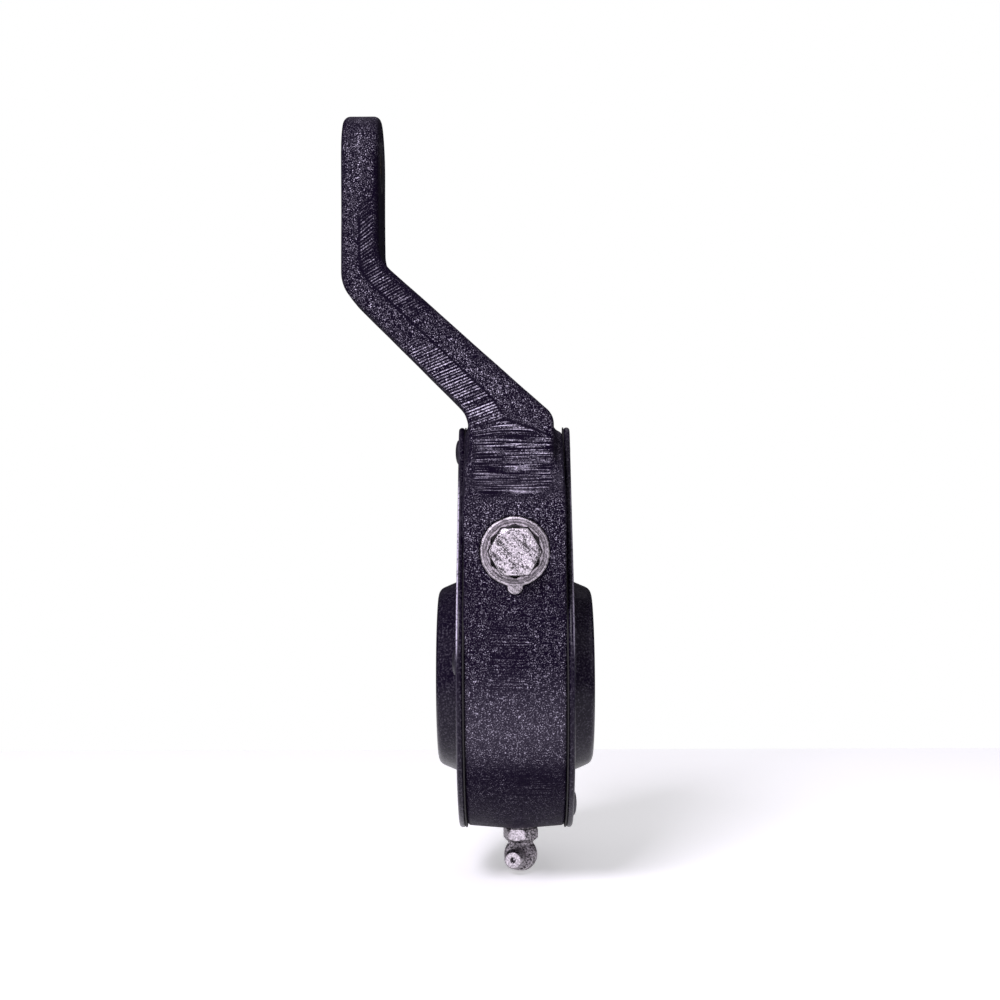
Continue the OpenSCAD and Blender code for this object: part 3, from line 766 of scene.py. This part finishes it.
def keep_values(mesh, name, values):
    """Keeps one number for each vertex under a name that a material reads."""
    mesh.attributes.new(name, "FLOAT", "POINT").data.foreach_set("value", values)


def mark_lines(x, y, z, patch_top):
    """Place along a grinding mark, shrunk, and across it; the marks lean on the arm, bow on the patch."""
    knee_x, knee_z = -45.0, 125.0
    along_share, through_share = 0.026, 0.02
    on_arm = z > patch_top
    tilt = np.radians(np.interp(z, [84.0, 100.0, 130.0, 145.0], [20.0, 22.0, 30.0, 38.0]))
    tilt = np.where(on_arm, tilt, 0.0)
    bow = 0.012 * x ** 2 * ramp(z, 74.0, 6.0)
    off_knee, up_knee = x - knee_x, z - knee_z
    run = off_knee * np.cos(tilt) + up_knee * np.sin(tilt)
    rise = up_knee * np.cos(tilt) - off_knee * np.sin(tilt) + np.where(on_arm, 0, bow)
    return np.stack([run * along_share, rise, y * through_share], 1)


def rubbed_and_lit_share(x, z, across, halfway, patch, lower, sideways):
    """How light the paint's grain tops are, partly rubbed paint and partly painted light and shade: a table
    by height, then more or less place by place.

    More on the shoulder's patch, growing to the right and upward, on the lower arm's level side and beside
    its ridge, and on the seam beside the eye; painted shade near the arm's right edge and where the surface
    looks to the side.
    """
    rubbed_and_lit = np.interp(z, *zip(*RUBBED_AND_LIT_BY_HEIGHT))
    patch_gain = np.interp(x, [-10.0, -3.0, 3.0, 9.0], [1.05, 1.25, 1.5, 1.7])
    patch_gain = patch_gain * np.interp(z, [58.0, 66.0, 74.0, 82.0], [0.85, 0.95, 1.12, 1.2])
    rubbed_and_lit = np.maximum(rubbed_and_lit, patch_gain * patch)
    rubbed_and_lit = rubbed_and_lit * (1 + 1.3 * lower)
    # painted shade near the lower arm's right edge
    rubbed_and_lit = rubbed_and_lit * (1 - 0.5 * ramp(-across, 0.7, 0.2) * soft(z, 84.0, 112.0, 6.0))
    beside = soft(across, -0.55, -0.05, 0.15) * soft(z, 84.0, 110.0, 6.0)
    rubbed_and_lit = rubbed_and_lit * (1 + 0.4 * beside)
    seam = np.exp(-np.square(halfway / 1.15)) * ramp(z, 150.0, 3.0)
    rubbed_and_lit = rubbed_and_lit * (1 + 0.8 * seam)
    # painted shade near the upper arm's right edge
    rubbed_and_lit = rubbed_and_lit * (1 - 0.8 * ramp(-across, 0.66, 0.12) * soft(z, 114.0, 166.0, 6.0))
    # painted shade where the surface looks to the side
    return rubbed_and_lit * np.interp(sideways, [0.45, 0.8], [1.0, 0.4])


def grind_attributes(mesh):
    """Vertex values of the forging's paint.

    ground: the shoulder's proud face, strips along the arm's ridge and two patches of the barrel.
    hatched: where its marks are even lines. The tops' share and the sheen: how light the tops and the whole
    are, the tops partly rubbed paint and partly painted light and shade, the sheen a painted highlight.
    off_seam and off_crease: distance from the two painted shadow lines. grind_place: place along the marks.
    """
    far = 9.0
    x, y, z = vertex_values(mesh, "co") / MM
    left, right = arm_edges(x, z)
    halfway = left - right
    across = halfway / np.maximum(-(left + right), ARM_LEAST)
    facing = ramp(np.abs(y), 10.0, 3.0)
    patch_top = 82.0 - 3.2 * np.maximum(across, 0) - 6.0 * np.maximum(-across, 0)
    off_x, off_z = np.maximum(np.abs(x + 0.5) - 6.7, 0), np.maximum(64.0 - z, 0)
    patch = (np.clip((5.5 - np.hypot(off_x, off_z)) / 1.5 + 0.5, 0, 1)
             * soft(z, 50.0, patch_top, 1.0) * facing)
    upper = soft(across, -0.70, 0.03, 0.08) * soft(z, 118.0, 152.0, 8.0)
    knee = soft(across, -0.75, 0.03, 0.12) * soft(z, 116.0, 130.0, 6.0)
    lower = soft(across, -0.02, 0.95, 0.08) * soft(z, 79.0, 106.0, 5.0)
    strip = np.maximum(np.maximum(upper, knee), lower) * facing * (z > patch_top)
    belly = soft(x, -7.5, 3.5, 2.0) * soft(z, -2.0, 20.0, 5.0) * facing * 0.6
    chin = soft(x, -2.0, 13.0, 5.0) * soft(z, -34.0, -24.0, 5.0) * facing * 0.6
    keep_values(mesh, "ground", np.maximum.reduce([patch, strip, belly, chin]))
    keep_values(mesh, "hatched", np.maximum(strip, belly))
    sideways = np.abs(vertex_values(mesh, "normal")[0])
    keep_values(mesh, "rubbed_and_lit", rubbed_and_lit_share(x, z, across, halfway, patch, lower * facing, sideways))
    # painted sheen: a soft band of painted light on the barrel's front, strongest at -14 mm
    keep_values(mesh, "painted_sheen", np.interp(z, [-26, -21, -14, -4, 8], [0.0, 0.016, 0.032, 0.022, 0.0]))
    keep_values(mesh, "off_seam", np.where((z > 84.0) & (z < 147.0), halfway / 2, far))
    by_crease = (np.abs(x + 0.5) < 12.5) & (facing > 0.5)
    keep_values(mesh, "off_crease", np.where(by_crease, z - patch_top - 0.4, far))
    places = mesh.attributes.new("grind_place", "FLOAT_VECTOR", "POINT")
    places.data.foreach_set("vector", mark_lines(x, y, z, patch_top).ravel())


class SLACK_OT_forging(bpy.types.Operator):
    """Build the forged body and arm as one smooth skin with its bores."""

    bl_idname = "slack.forging"
    bl_label = "Forged body"

    def execute(self, context):
        sizes = context.scene.slack_forging
        edge, ridge, wave = sizes.edge / MM, sizes.ridge / MM, sizes.waviness / MM
        low, high = (np.array(c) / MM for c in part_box("body"))
        points, quads = zero_surface(
            lambda x, y, z: forging_field(x, y, z, edge, ridge, wave),
            low - 2.0, high + 2.0, sizes.cell / MM)
        piece = put_piece("forged_body", [(points, quads)], "housing", "body",
                          forging_paint())
        grind_attributes(piece.data)
        return {"FINISHED"}


def cover_outline(steps):
    """Pear outline of a cover as points spaced evenly along it, with outward normals.

    A large circle round the bore and a small one round the top rivet, joined by their tangents.
    """
    big, small, rise = 48.5, 8.0, TOP_RIVET_Z
    lean = math.asin((big - small) / rise)
    bottom = np.linspace(-math.pi - lean, lean, 600)
    top = np.linspace(lean, math.pi - lean, 200)
    ring = np.concatenate([
        np.stack([big * np.cos(bottom), big * np.sin(bottom)], 1),
        np.stack([small * np.cos(top), rise + small * np.sin(top)], 1)])
    ring = np.concatenate([ring, ring[:1]])
    run = np.concatenate([[0], np.cumsum(np.linalg.norm(np.diff(ring, axis=0), axis=1))])
    even = np.linspace(0, run[-1], steps, endpoint=False)
    points = np.stack([np.interp(even, run, ring[:, i]) for i in (0, 1)], 1)
    way = np.roll(points, -1, 0) - np.roll(points, 1, 0)
    way /= np.linalg.norm(way, axis=1, keepdims=True)
    return points, np.stack([way[:, 1], -way[:, 0]], 1)


def cover_grid(side, steps=360):
    """Pressed cover: one closed loop of rows from the hole's edge over the dome and plate and back.

    A row of the dome is a circle, a row of the rim is the pear outline moved in along its normals,
    and a row of the plate is a share of each.
    """
    outline, normal = cover_outline(steps)
    circle = outline / np.linalg.norm(outline, axis=1, keepdims=True)
    hole_r, root_r, plate_r = 23.56, 28.3, 33.0
    dome_out, dome_in, lip = 24.7, 22.7, 0.9
    out = eased([(hole_r, dome_out), (27.9, dome_out), (30.8, PLATE_OUT), (33.5, PLATE_OUT)],
                [0.5, 2.2, 1.2, 0.0], 8)
    dome = out[4:-8]
    share = np.linspace(0, 1, 7)[1:]
    rim_a = np.linspace(0, math.pi, 9)
    rim_out = lip * np.sin(rim_a) - lip
    rim_x = (PLATE_IN + PLATE_OUT) / 2 + np.cos(rim_a)
    inner = eased([(root_r, PLATE_IN), (root_r, 18.6), (25.6, dome_in), (hole_r, dome_in)],
                  [0.0, 1.0, 0.8, 0.0], 5)[5:-4]
    rows = [circle * r for r in dome[:, 0]]
    x = list(dome[:, 1])
    base = circle * plate_r
    edge = outline - lip * normal
    rows += [base * (1 - s) + edge * s for s in share]
    x += [PLATE_OUT] * len(share)
    rows += [outline + d * normal for d in rim_out[1:-1]]
    x += list(rim_x[1:-1])
    rows += [base * (1 - s) + edge * s for s in share[::-1]]
    x += [PLATE_IN] * len(share)
    rows += [circle * root_r] + [circle * r for r in inner[:, 0]]
    x += [PLATE_IN] + list(inner[:, 1])
    flat = np.stack(rows)
    return np.concatenate([np.repeat(side * np.array(x)[:, None], steps, 1)[..., None], flat], 2)


class SLACK_OT_covers(bpy.types.Operator):
    """Build the two pressed covers with their domes."""

    bl_idname = "slack.covers"
    bl_label = "Pressed covers"

    def execute(self, context):
        paint = cover_paint()
        for side, node in ((-1, "left_cover"), (1, "right_cover")):
            piece = put_piece(f"pressed_{node}", [shell(cover_grid(side), True)], "housing", node,
                              paint)
            # the painted highlight is full on the left cover and weaker on the right, where less light
            # falls
            self.mark_rim_wear_and_highlight(piece.data, 1.0 if side < 0 else 0.4)
        return {"FINISHED"}

    def mark_rim_wear_and_highlight(self, mesh, wear_and_highlight_share):
        """Vertex values of chipped paint and a painted highlight on the outer corner of the rim, strongest
        on the left cover and only at the heights where the rim faces up and forward.
        """
        corner_from = 17.4
        x, _, z = vertex_values(mesh, "co") / MM
        outward = np.hypot(*vertex_values(mesh, "normal")[1:])
        corner = ramp(outward, 0.25, 0.25) * (np.abs(x) > corner_from) * (np.abs(x) < PLATE_OUT)
        # the painted highlight only between these heights, where the rim faces up and forward
        place = np.interp(z, [9.0, 15.0, 58.0, 64.0], [0.06, 1.0, 1.0, 0.06])
        keep_values(mesh, "rim_wear_and_highlight", wear_and_highlight_share * corner * place)


class SLACK_OT_rivets(bpy.types.Operator):
    """Build the five cover rivets, round head on one side and a set tail on the other."""

    bl_idname = "slack.rivets"
    bl_label = "Cover rivets"

    def execute(self, context):
        circle = BARREL_R - 6.7
        side_at, foot_at = math.radians(11), math.radians(65)
        side = circle * np.array([math.cos(side_at), math.sin(side_at)])
        foot = circle * np.array([math.cos(foot_at), -math.sin(foot_at)])
        places = [(0.0, TOP_RIVET_Z, -1), (side[0], side[1], -1), (-side[0], side[1], -1),
                  (foot[0], foot[1], 1), (-foot[0], foot[1], 1)]
        head_r, head_h, stem_r = 4.0, 1.1, 2.5
        a = np.linspace(0, 1, 8) * math.pi / 2
        head = np.stack([head_r * np.sin(a), PLATE_OUT + 0.1 + head_h * np.cos(a)], 1)
        tail = [(head_r, PLATE_OUT), (stem_r, PLATE_OUT - 0.2), (stem_r, -PLATE_OUT - 0.1),
                (1.7, -PLATE_OUT - 0.25), (0.9, -PLATE_OUT - 0.05), (0.0, -PLATE_OUT)]
        grid = turned(np.concatenate([head, tail]), 40)
        shells = []
        for y, z, way in places:
            shells.append(shell(along_camshaft(grid, way) + np.array([0, y, z])))
        put_piece("cover_rivet_set", shells, "housing", "cover_rivets",
                  bpy.data.materials["cover_paint"], 40)
        return {"FINISHED"}


class SLACK_OT_adjuster(bpy.types.Operator):
    """Build the adjusting shaft with its hex head, and the lock sleeve round it."""

    bl_idname = "slack.adjuster"
    bl_label = "Adjusting shaft and lock sleeve"

    def execute(self, context):
        zinc = colours().zinc
        self.shaft(zinc_plate("zinc_plate", tuple(zinc), 0.36, 0.00020, 0.10))
        self.sleeve(zinc_plate("sleeve_zinc", toned(zinc, 0.82), 0.38, 0.00010, 0.25, 0.11))
        return {"FINISHED"}

    def shaft(self, zinc):
        """Radius by angle and height: a hexagon under a chamfer cone, then round necks."""
        a = angles(192)
        flats, worn, face_r, cone_r, dish = 14.0, 0.12, 6.6, 6.7, 0.12
        neck_r, groove_r, seat_r = 7.0, 5.6, 5.5
        front, back = -51.5, -45.8
        flat_r = hexagon(a + math.pi / 6, flats, worn)
        share = np.linspace(0, 1, 12)
        face = share[:, None] * np.full_like(a, face_r)
        face_y = front + dish * (1 - share ** 2)
        side_y = np.concatenate([front + np.linspace(0.04, 1.5, 14), [-48.0, -46.2, back]])
        cone = cone_r + 2.0 * (side_y - front)
        side = blend_min(np.broadcast_to(flat_r, (len(side_y), len(a))),
                         np.broadcast_to(cone[:, None], (len(side_y), len(a))), 0.35)
        round_rows = [(neck_r, back), (neck_r, -25.9), (groove_r, -25.8), (groove_r, -23.8),
                      (neck_r, -23.7), (neck_r, -18.7), (seat_r, -18.7), (seat_r, 30.3), (5.0, 30.8),
                      (0.0, 30.8)]
        rows = np.concatenate([face, side, [np.full_like(a, r) for r, _ in round_rows]])
        height = np.concatenate([face_y, side_y, [h for _, h in round_rows]])
        put_piece("adjusting_shaft_hex", [shell(along_worm(polar(rows, height)))], "adjusting_shaft",
                  "worm_shaft", zinc, 38)

    def sleeve(self, zinc):
        """Radius by angle for each row of a closed loop: star hole, face, round back with key, bore."""
        a = angles(480)
        flats, worn, key_r, bore_r = 14.5, 0.08, 2.4, 9.35
        front, length, lip = -45.0, 11.0, 3.5
        star = np.maximum(hexagon(a, flats, worn), hexagon(a + math.pi / 6, flats, worn))
        swing = np.arctan2(np.sin(a + math.pi / 2), np.cos(a + math.pi / 2))
        bulge = np.maximum(key_r ** 2 - (SLEEVE_R * np.sin(swing)) ** 2, 0)
        on_key = (np.abs(swing) < 0.5) & (bulge > 0)
        key = np.where(on_key, SLEEVE_R * np.cos(swing) + np.sqrt(bulge), SLEEVE_R)
        ring = lambda r: np.full_like(a, r)
        face = [(star, 0.15), (star + 0.15, 0.0), (ring(8.6), 0.0)]
        groove = [(ring(8.66), 0.08), (ring(8.74), 0.75), (ring(9.0), 0.75), (ring(9.12), 0.25)]
        rim = [(ring(9.3), 0.2), (key - 0.45, 0.25), (key - 0.1, 0.4), (key, 0.8)]
        end = [(key, 10.8), (key - 0.2, length), (ring(bore_r), length)]
        inside = [(ring(bore_r), lip), (star + 0.9, lip), (star, lip)]
        rows, height = zip(*(face + groove + rim + end + inside))
        grid = along_worm(polar(np.stack(rows), front + np.array(height)))
        put_piece("lock_sleeve_twelve_point", [shell(grid, True)],
                  "lock", "lock_sleeve", zinc, 38)


class SLACK_OT_fitting(bpy.types.Operator):
    """Build the angled grease fitting and its check ball."""

    bl_idname = "slack.fitting"
    bl_label = "Grease fitting"

    def execute(self, context):
        metal = fitting_zinc()
        a = angles(192)
        flats, worn, shank_r, under_r, neck_r = 10.3, 0.10, 4.6, 5.45, 4.1
        ball, foot, face_y = 5.4, 4.9, -2.9
        shank_top, hex_top, neck_z = -40.0, -49.3, -54.5
        ring = lambda r: np.full_like(a, r)
        hex_r = hexagon(a + math.pi / 6, flats, worn)
        under = np.minimum(hex_r, under_r)
        cut_z = np.linspace(-52.2, -53.75, 6)
        cut = [np.minimum(hex_r, neck_r + 1.2 * (z - cut_z[-1])) for z in cut_z]
        arc = np.linspace(math.acos(neck_r / ball), -math.asin(foot / ball), 48)
        rows = [ring(0), ring(shank_r), ring(shank_r), under, hex_r] + cut + [ring(neck_r)]
        height = [shank_top, shank_top, hex_top, hex_top, -49.8] + list(cut_z) + [neck_z]
        rows += [ring(ball * math.cos(t)) for t in arc] + [ring(0)]
        height += [ELBOW_Z + ball * math.sin(t) for t in arc] + [ELBOW_Z - foot]
        upright = polar(np.stack(rows), height)
        faced = upright[..., 2] < neck_z
        upright[..., 1] = np.where(faced, np.maximum(upright[..., 1], face_y), upright[..., 1])
        upright = at_fitting(upright)
        nozzle = eased(
            [(2.5, 0.0), (2.5, 7.4), (3.25, 8.0), (3.25, 9.0), (2.45, 10.6), (0.95, 10.6), (0.62, 9.85),
             (0.62, 9.2), (1.02, 8.75), (1.02, 1.0)], [0, 0.25, 0.2, 0.25, 0.12, 0.05, 0, 0, 0, 0], 4)
        nozzle = np.concatenate([[(0.0, 0.0)], nozzle, [(0.0, 1.0)]])
        spout = turned(nozzle, 64)
        spout = at_fitting(np.stack([spout[..., 0], -spout[..., 2], spout[..., 1]], -1), ELBOW_Z)
        put_piece("grease_fitting_elbow", [shell(upright), shell(spout)], "housing", "grease_fitting",
                  metal, 35)
        low, high = (np.array(v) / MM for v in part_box("grease_check_ball"))
        half = np.linspace(-math.pi / 2, math.pi / 2, 25)
        r = (high - low).max() / 2
        globe = turned(np.stack([r * np.cos(half), r * np.sin(half)], 1), 48) + (low + high) / 2
        put_piece("check_ball", [shell(globe)], "check_ball", "grease_check_ball",
                  plain_metal("ball_steel", (0.85, 0.82, 0.86), 0.12))
        return {"FINISHED"}


class SLACK_OT_ends(bpy.types.Operator):
    """Build the clevis bushing and the expansion plug behind the worm."""

    bl_idname = "slack.ends"
    bl_label = "Clevis bushing and end plug"

    def execute(self, context):
        bronze = bushing_bronze()
        ring = [(6.4, -EYE_HALF), (8.4, -EYE_HALF), (8.4, EYE_HALF), (6.4, EYE_HALF)]
        grid = turned(eased(ring, [0.5, 0.35, 0.35, 0.5], 4), 96)
        grid = np.stack([grid[..., 2] + EYE_X, grid[..., 0], grid[..., 1] + EYE_Z], -1)
        put_piece("clevis_pin_bushing", [shell(grid, True)], "housing", "clevis_bushing",
                  bronze, 40)
        cup = [(0.0, 40.6), (10.6, 40.0), (13.03, 40.0), (13.03, 44.0), (11.8, 44.0), (11.8, 41.4),
               (10.4, 41.2), (0.0, 42.3)]
        profile = eased(cup, [0, 0.8, 0.8, 0.4, 0.4, 0.8, 0.8, 0], 5)
        plug = along_worm(turned(profile, 96))
        put_piece("expansion_plug", [shell(plug)], "housing", "worm_end_plug",
                  bpy.data.materials["zinc_plate"], 40)
        return {"FINISHED"}


class SLACK_OT_springs(bpy.types.Operator):
    """Build the two coil springs, which stay where they are built.

    The lock spring's wire is half as thick as the construction's, on the same outer radius, so that it
    clears the hex's corners when the sleeve is out.
    """

    bl_idname = "slack.springs"
    bl_label = "Coil springs"

    def execute(self, context):
        steel = plain_metal("spring_steel", toned(colours().steel, 0.7), 0.25)
        at_lock = lambda points: points + np.array([0, 0, WORM_Z])
        at_ball = lambda points: at_fitting(points, ELBOW_Z)
        self.spring("lock_coil_spring", "lock_spring", "lock", steel, at_lock, 8.475, 0.6, 4, -41.4, -32.1)
        self.spring("ball_coil_spring", "grease_ball_spring", "check_ball", steel, at_ball, 0.75, 0.3, 3,
                    -7.45, 0.8)
        return {"FINISHED"}

    def spring(self, name, node, body, steel, place, mean_r, wire, turns, front, back):
        """A coil left where it is built; its still back end and pushed front end are worked out but not
        used.
        """
        grid = place(coil(mean_r, wire, turns, front, back))
        still, pushed = place(np.array([(0.0, back, 0.0), (0.0, front, 0.0)])) * MM
        put_piece(name, [shell(grid)], ("housing", body, still, pushed), node, steel)


class SLACK_OT_inner(bpy.types.Operator):
    """Give the gear, seals and gaskets inside their own finishes."""

    bl_idname = "slack.inner"
    bl_label = "Inner parts"

    def execute(self, context):
        gear = plain_metal("gear_steel", colours().steel, 0.30)
        rubber = soft_part("seal_rubber", (0.018, 0.018, 0.019), 0.6, 0.0006)
        paper = soft_part("gasket_paper", (0.016, 0.014, 0.016), 0.85, 0.0005)
        finishes = {
            gear: ["worm_wheel", "worm", "spring_seat"],
            bpy.data.materials["bronze"]: ["front_thrust_washer", "rear_thrust_washer", "rear_bushing"],
            rubber: ["shaft_seal", "left_hub_seal", "right_hub_seal"],
            paper: ["left_gasket", "right_gasket"],
        }
        for material, nodes in finishes.items():
            for node in nodes:
                slots = bpy.data.objects[node].material_slots
                for slot in slots:
                    slot.material = material
                if not slots:
                    raise RuntimeError(f"{node} has no material slot")
        return {"FINISHED"}


def stage_material(colour):
    """Pale matt paper that glows a little, so that its shadows stay light."""
    f = Finish("studio_paper")
    fibre = f.noise(0.002, 3.0)
    return f.shade(
        Base_Color=f.mix(fibre, toned(colour, 0.98), tuple(colour)),
        Roughness=0.9, Emission_Color=(1.0, 1.0, 1.0, 1.0), Emission_Strength=0.4)


def studio_air():
    """White air for the picture's background, dim air for what the part reflects."""
    world = bpy.data.worlds.new("studio_air")
    world.use_nodes = True
    nodes, links = world.node_tree.nodes, world.node_tree.links
    dim = nodes["Background"]
    dim.inputs["Color"].default_value = (0.95, 0.93, 1.0, 1.0)
    dim.inputs["Strength"].default_value = 0.05
    white = nodes.new("ShaderNodeBackground")
    white.inputs["Color"].default_value = (1.0, 1.0, 1.0, 1.0)
    seen = nodes.new("ShaderNodeLightPath")
    both = nodes.new("ShaderNodeMixShader")
    links.new(seen.outputs["Is Camera Ray"], both.inputs[0])
    links.new(dim.outputs[0], both.inputs[1])
    links.new(white.outputs[0], both.inputs[2])
    links.new(both.outputs[0], nodes["World Output"].inputs["Surface"])
    return world


def area_light(name, place, aim, size, power, colour):
    """Soft square light at a place, turned to face the aim."""
    data = bpy.data.lights.new(name, "AREA")
    data.shape = "RECTANGLE"
    data.size, data.size_y = size
    data.energy = power
    data.color = colour
    lamp = bpy.data.objects.new(name, data)
    back = np.array(place, float) - np.array(aim, float)
    back /= np.linalg.norm(back)
    right = np.cross((0.0, 0.0, 1.0), back)
    right = right / np.linalg.norm(right) if np.linalg.norm(right) > 1e-6 else np.array([1.0, 0, 0])
    up = np.cross(back, right)
    turn = np.eye(4)
    turn[:3, 0], turn[:3, 1], turn[:3, 2], turn[:3, 3] = right, up, back, place
    lamp.matrix_world = Matrix(turn.tolist())
    bpy.context.scene.collection.objects.link(lamp)
    return lamp


class SLACK_OT_stage(bpy.types.Operator):
    """Build the plain floor, the soft lights and the camera."""

    bl_idname = "slack.stage"
    bl_label = "Studio stage"

    def execute(self, context):
        scene = context.scene
        sizes = scene.slack_stage
        below, reach = 0.0005, 0.28
        floor_z = CAD_BOX[0][2] - below
        side = np.linspace(-reach, reach, 17)
        grid = np.stack(np.broadcast_arrays(side[None, :], side[:, None], floor_z), -1)
        rows, columns = grid.shape[:2]
        r, c = np.meshgrid(np.arange(rows - 1), np.arange(columns - 1), indexing="ij")
        corner = (r * columns + c).ravel()
        quads = np.stack([corner, corner + 1, corner + columns + 1, corner + columns], 1)
        mesh = bpy.data.meshes.new("studio_floor")
        mesh.from_pydata(grid.reshape(-1, 3).tolist(), [], quads.tolist())
        mesh.shade_smooth()
        mesh.materials.append(stage_material(sizes.floor))
        floor = bpy.data.objects.new("studio_floor", mesh)
        scene.collection.objects.link(floor)

        lilac = (0.94, 0.89, 1.0)
        area_light("top_light", (0.0, -0.15, 1.0), (0, 0, 0), (1.1, 1.1), sizes.top_light, (1.0, 1.0, 1.0))
        area_light("key_light", (-0.40, -0.80, 0.80), (0, 0, 0.05), (0.4, 0.4), sizes.key_light, lilac)
        area_light("front_panel", (-0.12, -1.00, 0.12), (0, 0, 0.05), (1.2, 0.9), sizes.front_panel, lilac)
        fills = {"fill_right": (1.1, (1.0, -0.1, 0.40)), "fill_left": (0.5, (-1.0, -0.1, 0.40)),
                 "fill_back": (1.0, (0.1, 0.75, 1.1))}
        for name, (part, place) in fills.items():
            area_light(name, place, (0, 0, 0.06), (0.8, 0.8), part * sizes.fill_light, lilac)
        scene.world = studio_air()
        scene.view_settings.view_transform = "Standard"

        data = bpy.data.cameras.new("photo_camera")
        data.sensor_fit = "HORIZONTAL"
        data.sensor_width = 36.0
        data.lens = sizes.lens
        data.clip_start, data.clip_end = 0.01, 20.0
        camera = bpy.data.objects.new("photo_camera", data)
        yaw, pitch, roll = math.radians(-0.4018), math.radians(0.134), math.radians(-0.256)
        look = np.array([math.sin(yaw) * math.cos(pitch), math.cos(yaw) * math.cos(pitch), math.sin(pitch)])
        right = np.array([math.cos(yaw), -math.sin(yaw), 0.0])
        up = np.cross(right, look)
        c, s = math.cos(roll), math.sin(roll)
        pose = np.eye(4)
        pose[:3, 0], pose[:3, 1], pose[:3, 2] = right * c + up * s, up * c - right * s, -look
        pose[:3, 3] = np.array([-0.733, -569.32, 55.669]) * MM
        camera.matrix_world = Matrix(pose.tolist())
        scene.collection.objects.link(camera)
        scene.camera = camera
        return {"FINISHED"}


class SLACK_PT_panel(bpy.types.Panel):
    """Lists the sizes, colours and building steps of the slack adjuster."""

    bl_idname = "SLACK_PT_panel"
    bl_label = "Slack adjuster"
    bl_space_type = "VIEW_3D"
    bl_region_type = "UI"
    bl_category = "Slack adjuster"

    def draw(self, context):
        for group in ("slack_forging", "slack_colours", "slack_stage"):
            box = self.layout.box()
            settings = getattr(context.scene, group)
            for name in settings.__annotations__:
                box.prop(settings, name)
        for operator in OPERATORS:
            self.layout.operator(operator.bl_idname)


GROUPS = {"slack_forging": ForgingSizes, "slack_colours": FinishColours, "slack_stage": StageSizes}
OPERATORS = [SLACK_OT_forging, SLACK_OT_covers, SLACK_OT_rivets, SLACK_OT_adjuster, SLACK_OT_fitting,
             SLACK_OT_ends, SLACK_OT_springs, SLACK_OT_inner, SLACK_OT_stage]


def register():
    for name, group in GROUPS.items():
        bpy.utils.register_class(group)
        setattr(bpy.types.Scene, name, PointerProperty(type=group))
    for item in OPERATORS + [SLACK_PT_panel]:
        bpy.utils.register_class(item)


def unregister():
    for item in reversed(OPERATORS + [SLACK_PT_panel]):
        bpy.utils.unregister_class(item)
    for name, group in GROUPS.items():
        delattr(bpy.types.Scene, name)
        bpy.utils.unregister_class(group)


def main():
    register()
    bpy.ops.slack.forging()
    bpy.ops.slack.covers()
    bpy.ops.slack.rivets()
    bpy.ops.slack.adjuster()
    bpy.ops.slack.fitting()
    bpy.ops.slack.ends()
    bpy.ops.slack.springs()
    bpy.ops.slack.inner()
    bpy.ops.slack.stage()


if __name__ == "__main__":
    main()
